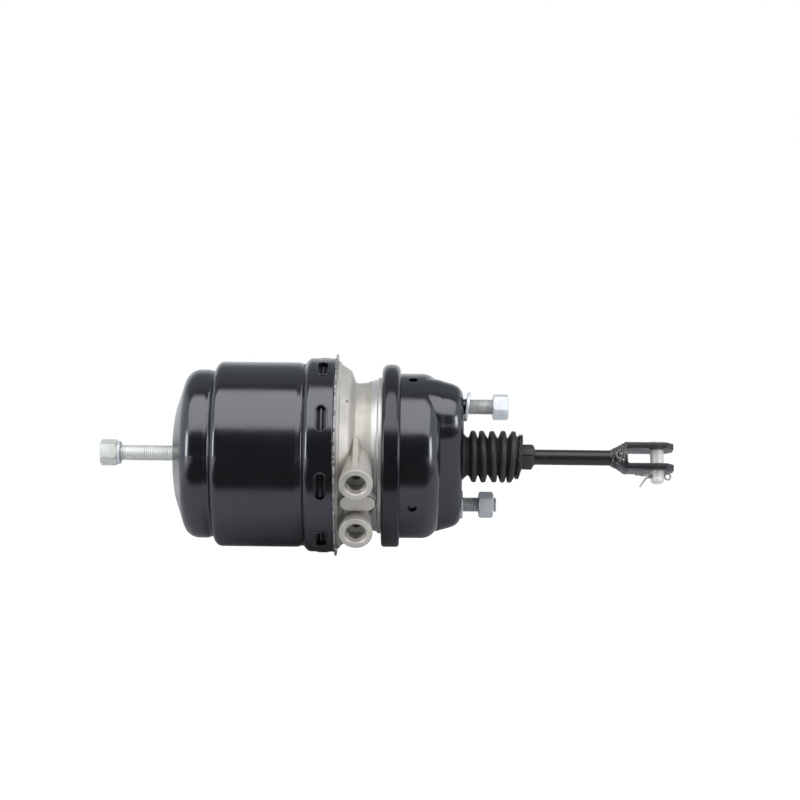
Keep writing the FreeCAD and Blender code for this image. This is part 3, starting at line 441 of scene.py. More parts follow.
def stud_steel():
    """Dull grey stud thread."""
    finish = Finish("stud_steel", (0.46, 0.47, 0.47), 0.45, 0.6)
    finish.mix("Base Color", finish.effect(PATCHES, Scale=140.0, Share=0.45, Edge=0.25), (0.33, 0.335, 0.335))
    finish.relief(finish.effect(GRAIN, Scale=2200.0, Coarse=1.0), 0.00004)
    return finish


def soft_black_rubber(name, roughness, grain):
    """Black rubber with a moulded skin and a little pale bloom."""
    finish = Finish(name, (0.014, 0.014, 0.0145), roughness)
    finish.relief(finish.effect(GRAIN, Scale=grain, Coarse=1.0), 0.00008)
    bloom = finish.effect(PATCHES, Scale=55.0, Share=0.42, Edge=0.4)
    finish.mix("Base Color", finish.faded(bloom, 0.5), (0.032, 0.032, 0.033))
    finish.mix("Base Color", finish.faded(finish.effect(SPECKS, Scale=700.0, Size=0.16, Share=0.12), 0.3),
               (0.20, 0.20, 0.20))
    return finish


def coated_cloth():
    """Rubber over a woven cloth, for the diaphragm."""
    finish = Finish("coated_cloth", (0.02, 0.02, 0.021), 0.7)
    finish.relief(finish.effect(GRAIN, Scale=900.0, Coarse=0.3), 0.00015)
    return finish


def moulded_plastic(name, colour):
    """Matt plastic, a little rougher in patches."""
    finish = Finish(name, colour, 0.45)
    finish.relief(finish.effect(GRAIN, Scale=1200.0, Coarse=0.8), 0.00004)
    finish.mix("Roughness", finish.effect(PATCHES, Scale=60.0, Share=0.5, Edge=0.3), 0.55)
    return finish


def rod_black():
    """Thin satin black paint with scuffs down to grey."""
    finish = Finish("rod_black_paint", (0.008, 0.008, 0.009), 0.30)
    finish.relief(finish.effect(GRAIN, Scale=900.0, Coarse=1.2), 0.00002)
    scuffs = finish.effect(PATCHES, Scale=120.0, Share=0.33, Edge=0.16)
    finish.mix("Base Color", finish.faded(scuffs, 0.25), (0.08, 0.08, 0.085))
    finish.mix("Roughness", scuffs, 0.42)
    return finish


def weld_black():
    """Painted weld with spatter."""
    finish = Finish("weld_black_paint", (0.006, 0.006, 0.007), 0.14)
    set_inputs(finish.shader, Specular_IOR_Level=1.0)
    finish.relief(finish.effect(GRAIN, Scale=230.0, Coarse=1.2), 0.0007)
    finish.mix("Base Color", finish.effect(SPECKS, Scale=360.0, Size=0.22, Share=0.07), (0.62, 0.62, 0.62))
    return finish


def piston_alloy():
    """Turned light alloy with dull patches."""
    finish = Finish("piston_alloy", (0.62, 0.62, 0.62), 0.38, 0.9)
    finish.relief(finish.effect(TURNING, Spacing=0.0008), 0.00001)
    finish.mix("Base Color", finish.effect(PATCHES, Scale=35.0, Share=0.4, Edge=0.3), (0.50, 0.50, 0.50))
    return finish


FINISHES = {
    "black_gloss_paint": gloss_black(),
    "black_satin_paint": satin_black(),
    "cast_aluminium": blasted_casting(),
    "zinc_steel": bright_zinc("bright_zinc", (0.55, 0.58, 0.61), 0.40, 0.4),
    "release_zinc": bright_zinc("release_zinc", (0.58, 0.61, 0.575), 0.38, 0.45),
    "pin_zinc": bright_zinc("pin_zinc", (0.58, 0.58, 0.575), 0.48, 0.35),
    "stud_steel": stud_steel(),
    "plain_steel": turned_steel("plain_steel", (0.42, 0.42, 0.42), 0.38),
    "spring_steel": turned_steel("spring_steel", (0.30, 0.30, 0.31), 0.34),
    "rod_black": rod_black(),
    "boot_rubber": soft_black_rubber("boot_rubber", 0.58, 1600.0),
    "diaphragm_rubber": coated_cloth(),
    "seal_rubber": soft_black_rubber("seal_rubber", 0.42, 2400.0),
    "guide_plastic": moulded_plastic("guide_plastic", (0.72, 0.69, 0.60)),
    "black_plastic": moulded_plastic("black_plastic", (0.02, 0.02, 0.021)),
    "piston_aluminium": piston_alloy(),
}


def finish_with(piece, slot, finish=None):
    """Puts one finish on a whole piece and names its slot."""
    piece.data.materials.clear()
    piece.data.materials.append((finish or FINISHES[slot]).material)
    return piece


slots = {entry["node"]: entry["material_slot"] for entry in frame["record"]["subparts"]}
for name, slot in slots.items():
    finish_with(parts[name], slot)
finish_with(parts["retaining_ring"], "spring_steel", FINISHES["black_satin_paint"])
finish_with(parts["spring_housing"], "black_gloss_paint", chipped_gloss_black())
finish_with(parts["split_pin"], slots["split_pin"], bright_zinc("split_wire", (0.36, 0.365, 0.37), 0.45, 0.3))


# Shapes


def piece_of(bm, name, crease=CREASE):
    """Turns a drawing in metres into a piece and uses it up."""
    mesh = bpy.data.meshes.new(name)
    bm.to_mesh(mesh)
    bm.free()
    mesh.shade_smooth()
    mesh.set_sharp_from_angle(angle=math.radians(crease))
    return link_to_scene(bpy.data.objects.new(name, mesh))


def piece_from(bm, name, crease=CREASE):
    """Turns a drawing in millimetres into a clean piece with outward normals."""
    bmesh.ops.remove_doubles(bm, verts=bm.verts, dist=1e-4)
    bmesh.ops.recalc_face_normals(bm, faces=bm.faces)
    bm.transform(Matrix.Scale(MM, 4))
    return piece_of(bm, name, crease)


def skin(name, rings, closed_along=False, capped=False, crease=CREASE):
    """Surface through rings of points, each ring closed, all with the same number of points."""
    bm = bmesh.new()
    loops = [[bm.verts.new(point) for point in ring] for ring in rings]
    pairs = list(zip(loops, loops[1:]))
    if closed_along:
        pairs.append((loops[-1], loops[0]))
    count = len(loops[0])
    for first, second in pairs:
        for index in range(count):
            following = (index + 1) % count
            bm.faces.new((first[index], first[following], second[following], second[index]))
    if capped:
        bm.faces.new(loops[0])
        bm.faces.new(loops[-1])
    return piece_from(bm, name, crease)


def turned(name, outline, segments, closed=False, capped=False):
    """Surface of revolution about X through (x, radius) points."""
    turns = turns_of(segments)
    return skin(name, [[on_ring(x, radius, turn) for turn in turns] for x, radius in outline], closed, capped)


def drill(start, end, radius, segments):
    """Rod along X that cuts a hole."""
    return turned("drill", [(start, radius), (end, radius)], segments, capped=True)


def rounded(corners, closed=False, steps=5):
    """Points along a path of (x, y, corner round), each corner turned into short chords."""
    result = []
    last = len(corners) - 1
    for index, corner in enumerate(corners):
        here = Vector((corner[0], corner[1]))
        corner_round = corner[2] if len(corner) > 2 else 0.0
        if corner_round <= 0 or (not closed and index in (0, last)):
            result.append(tuple(here))
            continue
        back = (Vector(corners[index - 1][:2]) - here).normalized()
        ahead = (Vector(corners[(index + 1) % len(corners)][:2]) - here).normalized()
        half = back.angle(ahead) / 2
        centre = here + (back + ahead).normalized() * (corner_round / math.sin(half))
        start = here + back * (corner_round / math.tan(half)) - centre
        end = here + ahead * (corner_round / math.tan(half)) - centre
        sweep = start.angle_signed(end)
        for step in range(steps + 1):
            spoke = start.copy()
            spoke.rotate(Matrix.Rotation(-sweep * step / steps, 2))
            result.append(tuple(centre + spoke))
    return result


def evaluated(piece):
    """Applies a piece's modifiers and returns it with the result as its mesh."""
    mesh = bpy.data.meshes.new_from_object(piece.evaluated_get(bpy.context.evaluated_depsgraph_get()))
    piece.modifiers.clear()
    piece.data = mesh
    return piece


def moved(piece, matrix):
    piece.data.transform(matrix)
    return piece


def joined(name, pieces):
    """One piece from several, which are used up."""
    bm = bmesh.new()
    for piece in pieces:
        bm.from_mesh(piece.data)
        bpy.data.objects.remove(piece)
    return piece_of(bm, name)


def cut_away(piece, cutters):
    """Cuts closed pieces out of a closed piece."""
    tool = joined("cutter", cutters)
    cut = piece.modifiers.new("cut", "BOOLEAN")
    cut.operation = "DIFFERENCE"
    cut.solver = "EXACT"
    cut.object = tool
    evaluated(piece)
    bpy.data.objects.remove(tool)
    piece.data.set_sharp_from_angle(angle=math.radians(CREASE))
    return piece


def merged(node):
    """Drawing of a CAD node, with its loose triangles joined."""
    bm = bmesh.new()
    bm.from_mesh(parts[node].data)
    bmesh.ops.remove_doubles(bm, verts=bm.verts, dist=1e-7)
    return bm


def softened(name, node, width):
    """Copy of a CAD node with its edges rounded."""
    bm = merged(node)
    bmesh.ops.dissolve_limit(bm, angle_limit=math.radians(0.4), verts=bm.verts, edges=bm.edges)
    corners = [edge for edge in bm.edges if edge.is_manifold and edge.calc_face_angle() > math.radians(28)]
    bmesh.ops.bevel(bm, geom=corners, offset=width * MM, segments=3, profile=0.6, affect="EDGES",
                    clamp_overlap=True)
    return piece_of(bm, name, 32.0)


def stands_for(piece, slot, nodes, body, finish=None):
    """Finishes a piece, puts it on its body and hides the CAD nodes that it stands for."""
    finish_with(piece, slot, finish)
    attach(piece, body)
    if nodes:
        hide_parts(*nodes)
    return piece


# Shapes made by geometry nodes


def new_maker(name, inputs):
    """Tree that makes a shape from the given inputs and a material."""
    return new_tree(name, {**inputs, "Material": None}, "Geometry", "Geometry", "Geometry")


def set_round_x(tree, geometry, x, radius, turn):
    """Moves each point of a shape to its own place, radius and turn round X."""
    back = maths(tree, "MULTIPLY", radius, -1.0)
    spot = add_node(tree, "ShaderNodeCombineXYZ", {
        "X": x, "Y": maths(tree, "MULTIPLY", back, maths(tree, "COSINE", turn)),
        "Z": maths(tree, "MULTIPLY", radius, maths(tree, "SINE", turn))})
    return add_node(tree, "GeometryNodeSetPosition", {"Geometry": geometry, "Position": spot.outputs[0]})


def finish_tree(tree, geometry, given, result):
    real = add_node(tree, "GeometryNodeRealizeInstances", {0: geometry})
    coated = add_node(tree, "GeometryNodeSetMaterial", {0: real.outputs[0], "Material": given["Material"]})
    tree.links.new(coated.outputs[0], result["Geometry"])
    return tree


def grown(name, tree, slot, **values):
    """Piece made by a geometry node tree with the given inputs, with underscores for spaces."""
    piece = link_to_scene(bpy.data.objects.new(name, bpy.data.meshes.new(name)))
    maker = piece.modifiers.new("maker", "NODES")
    maker.node_group = tree
    values["Material"] = FINISHES[slot].material
    for item in tree.interface.items_tree:
        if item.in_out == "INPUT":
            maker[item.identifier] = values[item.name.replace(" ", "_")]
    return evaluated(piece)


def make_thread_tree():
    """Right-handed ridges on a rod along X, or inside a bore where Inward is true."""
    tree, given, result = new_maker("thread", {
        "Start": 0.0, "Length": 0.03, "Radius": 0.008, "Depth": 0.001, "Pitch": 0.002, "Rows": 160,
        "Inward": False})
    calc = partial(maths, tree)
    grid = add_node(tree, "GeometryNodeMeshGrid", {"Vertices X": given["Rows"]}, Size_X=1.0, Size_Y=1.0,
                    Vertices_Y=61)
    place = axes_of(tree, tree.nodes.new("GeometryNodeInputPosition").outputs[0])
    along = calc("MULTIPLY", calc("ADD", place["X"], 0.5), given["Length"])
    share = calc("ADD", place["Y"], 0.5)
    turn = calc("MULTIPLY", share, FULL_TURN)
    phase = calc("FRACT", calc("ADD", calc("DIVIDE", along, given["Pitch"]), share))
    flank = calc("MULTIPLY", calc("ABSOLUTE", calc("SUBTRACT", phase, 0.5)), 2.0)
    fall = calc("DIVIDE", calc("SUBTRACT", flank, 0.14), 0.72, clamp=True)
    to_end = calc("MINIMUM", along, calc("SUBTRACT", given["Length"], along))
    bevel = calc("SUBTRACT", given["Depth"], calc("MULTIPLY", to_end, 0.8))
    drop = calc("MAXIMUM", calc("MULTIPLY", fall, given["Depth"]), bevel)
    radius = calc("SUBTRACT", given["Radius"], drop)
    wound = set_round_x(tree, grid.outputs[0], calc("ADD", given["Start"], along), radius, turn)
    sealed = add_node(tree, "GeometryNodeMergeByDistance", {"Geometry": wound.outputs[0]}, Distance=0.000002)
    faced = add_node(tree, "GeometryNodeFlipFaces", {"Mesh": sealed.outputs[0], "Selection": given["Inward"]})
    smooth = add_node(tree, "GeometryNodeSetShadeSmooth", {0: faced.outputs[0]})
    return finish_tree(tree, smooth.outputs[0], given, result)


def make_rim_tree():
    """Raised round-ended rims, wrapped on a drum and repeated round X."""
    tree, given, result = new_maker("slot_rims", {
        "Centre": 0.0, "Drum Radius": 0.1, "Long": 0.028, "Wide": 0.012, "Bead": 0.0005, "Count": 9,
        "First Turn": 0.0})
    calc = partial(maths, tree)
    half = calc("MULTIPLY", given["Wide"], 0.5)
    even = add_node(tree, "GeometryNodeCurvePrimitiveCircle", {"Radius": half}, Resolution=72)
    flat = axes_of(tree, tree.nodes.new("GeometryNodeInputPosition").outputs[0])
    reach = calc("MULTIPLY", calc("SUBTRACT", given["Long"], given["Wide"]), 0.5)
    apart = calc("MULTIPLY_ADD", calc("SIGN", flat["X"]), reach, flat["X"])
    turn = calc("DIVIDE", apart, given["Drum Radius"])
    x = calc("ADD", given["Centre"], flat["Y"])
    wrapped = set_round_x(tree, even.outputs[0], x, given["Drum Radius"], turn)
    section = add_node(tree, "GeometryNodeCurvePrimitiveCircle", {"Radius": given["Bead"]}, Resolution=10)
    rim = add_node(tree, "GeometryNodeCurveToMesh", {
        "Curve": wrapped.outputs[0], "Profile Curve": section.outputs[0]})
    spots = add_node(tree, "GeometryNodeMeshLine", {"Count": given["Count"]}, Offset=(0, 0, 0))
    number = tree.nodes.new("GeometryNodeInputIndex").outputs[0]
    angle = calc("MULTIPLY_ADD", number, calc("DIVIDE", FULL_TURN, given["Count"]), given["First Turn"])
    facing = add_node(tree, "ShaderNodeCombineXYZ", {"X": calc("MULTIPLY", angle, -1.0)})
    round_x = add_node(tree, "GeometryNodeInstanceOnPoints", {
        "Points": spots.outputs[0], "Instance": rim.outputs[0], "Rotation": facing.outputs[0]})
    return finish_tree(tree, round_x.outputs[0], given, result)


THREAD = make_thread_tree()
RIMS = make_rim_tree()


def thread(name, slot, start, length, radius, depth=0.95, pitch=2.0, inward=False):
    """Ridges with nine rows of points to a pitch."""
    return grown(
        name, THREAD, slot, Start=start * MM, Length=length * MM, Radius=radius * MM, Depth=depth * MM,
        Pitch=pitch * MM, Rows=int(length / pitch * 9), Inward=inward)


# Service housing


def cup_height(radius):
    """X of the plain cup's dome and its corner."""
    dome = DOME_X - radius * DOME_SLOPE
    past_dome = radius - (CUP_RADIUS - CUP_CORNER)
    if past_dome < 0:
        return dome
    return min(CUP_CORNER_X + math.sqrt(max(CUP_CORNER ** 2 - past_dome ** 2, 0.0)), dome)


# Distance beyond the edge of the ridge's top, and the wall's depth there
RIDGE_PROFILE = ((-40, 0), (-1.5, 0), (0.3, 0.2), (2.0, 0.75), (3.8, 1.7), (5.6, 3.2), (7.2, 5.5), (8.5, 8.7),
                 (9.5, 12.0), (11.0, 18.0), (12.8, 23.0), (14.7, 38.0), (30, 150))


def ridge_drop(beyond):
    """Depth of the ridge's wall below its top, for a distance beyond the edge of the top."""
    for (near, high), (far, low) in zip(RIDGE_PROFILE, RIDGE_PROFILE[1:]):
        if beyond <= far:
            return high + (low - high) * (beyond - near) / (far - near)
    return RIDGE_PROFILE[-1][1]


def housing_height(radius, turn):
    """X of the housing's outer face at a radius and a turn from the stud line."""
    long_side = abs(radius * math.cos(turn)) - (RIDGE_HALF_LENGTH - RIDGE_CORNER)
    short_side = abs(radius * math.sin(turn)) - (RIDGE_HALF_WIDTH - RIDGE_CORNER)
    beyond = math.hypot(max(long_side, 0), max(short_side, 0)) + min(max(long_side, short_side), 0)
    beyond -= RIDGE_CORNER
    ridge = -sum(ridge_drop(beyond + shift) for shift in (-0.8, -0.3, 0.3, 0.8)) / 4
    dome = cup_height(radius)
    blend = 3.0
    share = min(max(0.5 + 0.5 * (ridge - dome) / blend, 0.0), 1.0)
    return dome + (ridge - dome) * share + blend * share * (1 - share) / 2


def evenly(points, count):
    """Points at even distances along a path."""
    lengths = [0.0]
    for first, second in zip(points, points[1:]):
        lengths.append(lengths[-1] + math.dist(first, second))
    result = []
    index = 0
    for step in range(count):
        wanted = lengths[-1] * step / (count - 1)
        while index < len(points) - 2 and lengths[index + 1] < wanted:
            index += 1
        share = (wanted - lengths[index]) / max(lengths[index + 1] - lengths[index], 1e-9)
        result.append([a + (b - a) * min(share, 1.0) for a, b in zip(points[index], points[index + 1])])
    return result


def make_service_housing():
    """Pressed cup with its ridge, pierced for the boot, the vents and the studs."""
    radii = [BOOT_HOLE + (CUP_RADIUS - BOOT_HOLE) * step / 420 for step in range(421)]
    skirt = [(x, CUP_RADIUS) for x in (-42, -47, -53, -58, -62)]
    skirt += rounded([(-62, CUP_RADIUS), (-64.8, CUP_RADIUS, 1.4), (-64.8, 89.5)], steps=4)[1:]
    meridians = []
    for turn in turns_of(240):
        path = evenly([(housing_height(radius, turn), radius) for radius in radii], 130) + skirt
        elevation = math.radians(STUD_ELEVATION) + turn
        meridians.append([on_ring(x, radius, elevation) for x, radius in path])
    shell = skin("service_shell", zip(*meridians))
    wall = shell.modifiers.new("wall", "SOLIDIFY")
    wall.thickness = CUP_WALL * MM
    wall.offset = -1.0
    evaluated(shell)
    cutters = [moved(drill(0, 12, VENT_RADIUS, 32), at_vent(elevation, 74.0))
               for elevation in (OPEN_VENT, *PLUGGED_VENTS)]
    cutters += [moved(drill(-9, 2, STUD_HOLE, 40), at_stud(side)) for side in STUD_SIDES]
    return cut_away(shell, cutters)


def make_vent_plugs():
    """Two domed plugs, which the housing's paint covers."""
    dome, half_angle = 20.0, math.radians(13.5)
    outline = [(-4.6, 0.05), (-4.6, 6.2), (-3.5, 6.2), (-3.5, 4.68), (-0.1, 4.68)]
    for step in range(13):
        angle = half_angle * (1 - step / 12)
        outline.append((dome * (math.cos(angle) - math.cos(half_angle)), max(dome * math.sin(angle), 0.05)))
    return joined("vent_plugs_worked", [
        moved(turned("plug", outline, 64, capped=True), at_vent(elevation, CUP_RADIUS))
        for elevation in PLUGGED_VENTS])


stands_for(make_service_housing(), "black_gloss_paint", ["service_housing"], "housing")
stands_for(make_vent_plugs(), "black_plastic", ["vent_plugs"], "housing", FINISHES["black_gloss_paint"])


# Clamp band with its round upper half and its squarer lower half


def clamp_section(corner):
    """Channel that is open towards the axis, with outer corners of the given rounding."""
    half = 9.7
    foot = CLAMP_RADIUS - 11.0
    inner = CLAMP_RADIUS - 2.5
    inside = max(corner - 2.5, 0.6)
    return rounded([
        (-half, foot, 0.5), (-half + 0.4, CLAMP_RADIUS, corner), (half - 0.4, CLAMP_RADIUS, corner),
        (half, foot, 0.5), (half - 2.5, foot, 0.5), (half - 2.9, inner, inside),
        (-half + 2.9, inner, inside), (-half + 2.5, foot, 0.5)], closed=True)


def make_clamp_band():
    """Band with a gap and two lugs at its joint, rounder from 26.5 to 175 degrees."""
    gap = math.degrees(9.0 / CLAMP_RADIUS)
    rings = []
    for step in range(241):
        elevation = CLAMP_JOINT + gap / 2 + (360 - gap) * step / 240 - 360
        rounder = ease(19.5, 26.5, elevation) if elevation < 120 else 1 - ease(175, 182, elevation)
        along = outward(elevation)
        section = clamp_section(3.4 + 3.9 * rounder)
        rings.append([Vector((CLAMP_X + x, 0, 0)) + along * radius for x, radius in section])
    pieces = [skin("band", rings, capped=True)]
    back, across = outward(CLAMP_JOINT), upwards(CLAMP_JOINT)
    outline = rounded([(-8.7, 82, 0), (-8.7, 112, 8.6), (8.7, 112, 8.6), (8.7, 82, 0)], steps=8)
    for side in (-1, 1):
        sides = [[Vector((CLAMP_X + x, 0, 0)) + back * r + across * (side * depth) for x, r in outline]
                 for depth in (4.5, 10.5)]
        pieces.append(skin("lug", sides, capped=True))
    return joined("clamp_band_worked", pieces)


stands_for(make_clamp_band(), "black_satin_paint", ["clamp_band"], "housing")


# Boot


# Middle of each boot fold, and how far it leans forward at the top and back at the bottom
BOOT_FOLDS = ((14.9, -0.55), (24.5, -1.1), (35.1, -1.3), (45.5, 0.2), (54.7, 2.0))
BOOT_VALLEYS = (9.7, 19.8, 29.9, 40.3, 50.1, 59.2)


def boot_outline():
    """Outside of the boot from its bead to its cuff, then back along the inside."""
    peak, valley, rubber = 26.9, 18.4, 1.8
    outside = [(-5.4, 28.4), (-5.4, 29.2), (-3.3, 29.2), (-3.3, 28.2), (1.0, 28.2, 0.8), (2.2, 26.6, 1.5)]
    inside = [(66.5, 8.35, 0.5), (63.4, 20.0, 0.8), (60.4, 20.0, 0.8)]
    outside += [(BOOT_VALLEYS[0], valley, 1.8)]
    for (middle, _), beyond in zip(BOOT_FOLDS, BOOT_VALLEYS[1:]):
        outside += [(middle - 2.1, peak, 1.9), (middle + 2.1, peak, 1.9), (beyond, valley, 0.5)]
    outside += [(60.6, 22.6, 0.6), (61.4, 23.2, 0.4), (62.2, 22.4, 0.4), (63.0, 23.1, 0.4), (64.0, 22.9, 0.6)]
    outside += [(64.9, 13.6, 1.0), (65.6, 13.1, 0.4), (76.6, 13.1, 2.6), (78.5, 9.4, 0.6), (78.5, 8.35)]
    for (middle, _), before in zip(reversed(BOOT_FOLDS), reversed(BOOT_VALLEYS[:-1])):
        inside += [(middle, peak - rubber, 0.8), (before, valley - rubber, 0.9)]
    inside += [(0.0, 26.2, 1.0), (-5.4, 26.2)]
    return rounded(outside, steps=4) + rounded(inside, steps=3)


def fold_lean(x, turn, radius):
    """How far a point of the boot moves along X, since the folds aren't square to the rod."""
    if not 6 < x < 65 or radius < 17:
        return 0.0
    if x > 60:
        return 2.1 * math.sin(turn)
    number = min(range(5), key=lambda index: abs(BOOT_FOLDS[index][0] - x))
    wave = 0.25 * math.sin(2 * turn + 2.1 * number)
    return (BOOT_FOLDS[number][1] * math.sin(turn) + wave) * ease(18.0, 26.0, radius)


def make_boot():
    """Boot with uneven folds, and a cuff that is pressed in and split at the front."""
    rings = []
    for x, radius in boot_outline():
        ring = []
        for turn in turns_of(144):
            lean = fold_lean(x, turn, radius)
            push = 0.0
            if radius > 8.6 and x > -2.5:
                push = lumps(x, turn, 0.12, 2.2) * 0.35
            if 60.5 < x < 64.2 and radius > 22:
                push += lumps(x, turn, 1, 9) * 1.1
            if x > 65.2 and radius > 8.6:
                push -= 1.3 * (1 - ease(0.8, 2.4, abs(math.degrees(turn) - 9.0)))
                upper = 9 < math.degrees(turn) < 180
                lean = (0.35 if upper else -1.1) * ease(72.0, 77.0, x)
            ring.append(on_ring(x + lean, radius + push, turn))
        rings.append(ring)
    return skin("folded_boot", rings, closed_along=True, crease=50.0)


boot = finish_with(make_boot(), "boot_rubber")
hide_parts("boot")
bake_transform(boot)


# Soft and sprung pieces inside, copied from the CAD nodes and put on no body


def stretched_copy(name, source, slot):
    piece = finish_with(piece_of(merged(source), name), slot)
    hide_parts(source)
    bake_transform(piece)


stretched_copy("return_coil", "return_spring", "spring_steel")
stretched_copy("rolled_diaphragm", "diaphragm", "diaphragm_rubber")
stretched_copy("power_coil", "power_spring", "spring_steel")


# Studs, nuts and washers


def make_studs():
    """Two threaded studs, each with a square head inside the housing."""
    studs = []
    bare = 2.3
    for side in STUD_SIDES:
        stem = turned("stem", rounded([
            (-7.2, 0.1), (-7.2, 8.4), (0, 8.4, 0.2), (0.05, 8.0, 0.2), (2.2, 8.0, 0.4), (2.7, 6.95),
            (2.7, 0.1)]), 48, capped=True)
        head = bmesh.new()
        bmesh.ops.create_cube(head, size=1.0)
        bmesh.ops.scale(head, vec=(6.0, 24.0, 24.0), verts=head.verts)
        bmesh.ops.bevel(head, geom=head.edges, offset=0.8, segments=2, affect="EDGES")
        turn = Matrix.Rotation(math.radians(90 - STUD_ELEVATION), 4, "X")
        head.transform(Matrix.Translation((-10.2, 0, 0)) @ turn)
        ridges = thread("ridges", "stud_steel", bare, STUD_LENGTH - bare, 7.9)
        end = turned("end", [(STUD_LENGTH - 0.01, 6.96), (STUD_LENGTH, 0.05)], 60, capped=True)
        studs.append(moved(joined("stud", [stem, piece_from(head, "head"), ridges, end]), at_stud(side)))
    return joined("threaded_studs", studs)


def make_washers():
    """Two washers, the upper one leaning on its thread."""
    washers = softened("washers_worked", "stud_washers", 0.4)
    place = at_stud(0).translation + Vector((0.0073, 0, 0))
    lean = Matrix.Rotation(math.radians(7.5), 4, "Y")
    lean = Matrix.Translation(place) @ lean @ Matrix.Translation(-place)
    for vertex in washers.data.vertices:
        if vertex.co.z > 0:
            vertex.co = lean @ vertex.co
    washers.data.update()
    return washers


stands_for(make_studs(), "stud_steel", ["mounting_studs"], "housing")
outline = rounded([(0.1, 7.0), (0.1, 8.05, 0.2), (6.0, 8.0, 0.5), (6.3, 7.0)], steps=3)
root = moved(turned("painted_root", outline, 48), at_stud(0))
stands_for(root, "stud_steel", [], "housing", FINISHES["black_satin_paint"])
stands_for(softened("stud_nuts_worked", "stud_nuts", 0.35), "zinc_steel", ["stud_nuts"], "housing")
stands_for(make_washers(), "zinc_steel", ["stud_washers"], "housing")


# Release bolt, ports and slot rims


def make_release_bolt():
    """Softened head of the CAD node, turned a little, on a threaded shank."""
    ridges = thread("release_thread", "release_zinc", -351.5, 148.8, 7.98, 0.35)
    head = softened("release_head", "release_bolt", 0.5)
    bm = bmesh.new()
    bm.from_mesh(head.data)
    shank = [vert for vert in bm.verts if vert.co.x > -0.3540]
    bmesh.ops.delete(bm, geom=shank, context="VERTS")
    bm.transform(Matrix.Rotation(math.radians(20), 4, "X"))
    bm.to_mesh(head.data)
    bm.free()
    core = turned("core", [(-354.6, 7.9), (-351.4, 7.9), (-351.3, 7.0), (-202.8, 7.0)], 60, capped=True)
    return joined("release_bolt_worked", [head, ridges, core])


def make_port_rims():
    """Turned collars with a chamfered mouth on the two port bosses."""
    outline = rounded([(-8.0, 15.2), (-8.0, 16.6, 0.6), (0.25, 16.9, 1.2), (0.25, 11.9, 0.3), (-1.6, 10.25),
                       (-2.0, 10.25), (-2.0, 15.2)], closed=True, steps=4)
    outline = [(-x, radius) for x, radius in outline]
    return joined("port_collars", [
        moved(turned("collar", outline, 96, closed=True), at_port(sign)) for sign in (1, -1)])


def make_painted_groove_shade():
    """Black ring round the foot of the raised pad between the ports: painted shade along the pad's edge."""
    normal, side = outward(PORT_ELEVATION), upwards(PORT_ELEVATION)
    line = 0.5
    rings = []
    for turn in turns_of(96):
        spoke = Vector((math.cos(turn), math.sin(turn)))
        out = Vector((spoke.x, 0, 0)) + side * spoke.y
        middle = Vector((PAD_X + math.copysign(PAD_STRAIGHT, spoke.x), 0, 0)) + normal * (PAD_FACE - 0.7)
        spot = middle + out * PAD_HALF_WIDTH
        rings.append([spot + out * (line * math.cos(angle)) + normal * (line * math.sin(angle))
                      for angle in turns_of(8)])
    return skin("pad_groove", rings, closed_along=True)


stands_for(make_release_bolt(), "release_zinc", ["release_bolt"], "release_screw")
washer = softened("release_washer_worked", "release_washer", 0.35)
stands_for(washer, "zinc_steel", ["release_washer"], "release_screw")
for name, sign in (("service_port_thread", 1), ("spring_port_thread", -1)):
    bore = thread(name, "cast_aluminium", 2.3, 13.6, 10.19, 0.62, 1.5, inward=True)
    stands_for(moved(bore, at_port(sign)), "cast_aluminium", [], "housing")
stands_for(make_port_rims(), "cast_aluminium", [], "housing")
# The black ring round the pad's foot is painted shade.
stands_for(make_painted_groove_shade(), "cast_aluminium", [], "housing", FINISHES["black_satin_paint"])
rims = grown(
    "slot_rims", RIMS, "black_gloss_paint", Centre=SLOT_X * MM, Drum_Radius=(SKIRT_RADIUS + 0.35) * MM,
    Long=0.0288, Wide=0.0118, Bead=0.0007, Count=9, First_Turn=math.radians(23.0))
stands_for(rims, "black_gloss_paint", [], "housing")


# Clevis, its weld and its pin


def make_weld():
    """Lumpy weld round the neck between rod and fork."""
    squareness = 3.2
    rings = []
    for step in range(41):
        x = WELD_X + WELD_LENGTH * step / 40
        rise = ease(WELD_X, 160.0, x)
        half_y = 8.1 + max(x - 158.6, 0) * 0.46
        half_z = 8.1 + max(x - 160.2, 0) * 0.56
        ring = []
        for turn in turns_of(96):
            y, z = abs(math.cos(turn)), abs(math.sin(turn))
            radius = 1 / ((y / half_y) ** squareness + (z / half_z) ** squareness) ** (1 / squareness)
            beads = 0.5 + 0.5 * math.sin(x * 1.9 + 1.4 * math.sin(2 * turn) + 0.8 * math.sin(5 * turn))
            rough = 1.2 * lumps(x, turn, 0.30, 2.6) + 0.5 * lumps(x, turn, 0.9, 7.0)
            radius += rise * (0.35 + 0.8 * beads + rough)
            ring.append(on_ring(x, radius, turn + CLEVIS_TURN))
        rings.append(ring)
    return skin("weld", rings, capped=True, crease=80.0)


def make_pin():
    """Pin along its own Z with a thin crowned head and a domed end, leaning with the clevis."""
    outline = [(-27.0, 0.05), (-26.9, 2.4), (-26.5, 4.4), (-25.7, 5.9), (-24.6, 6.8), (-23.4, 7.0),
               (-22.6, 7.0), (13.9, 7.0), (14.3, 7.2), (14.3, 9.3), (14.6, 9.6), (15.9, 9.6),
               (16.6, 9.1), (16.9, 7.4), (17.0, 0.05)]
    pin = turned("pin", outline, 96, capped=True)
    moved(pin, Matrix.Translation((PIN_X * MM, 0, 0)) @ Matrix.Rotation(math.radians(-90), 4, "Y"))
    for turn_back in (0, 180, 208):
        aim = Matrix.Rotation(math.radians(turn_back), 4, "Z")
        cut_away(pin, [moved(drill(0, 12, 1.7, 24), Matrix.Translation((PIN_X * MM, 0, -0.0194)) @ aim)])
    return moved(pin, Matrix.Rotation(-CLEVIS_TURN, 4, "X"))


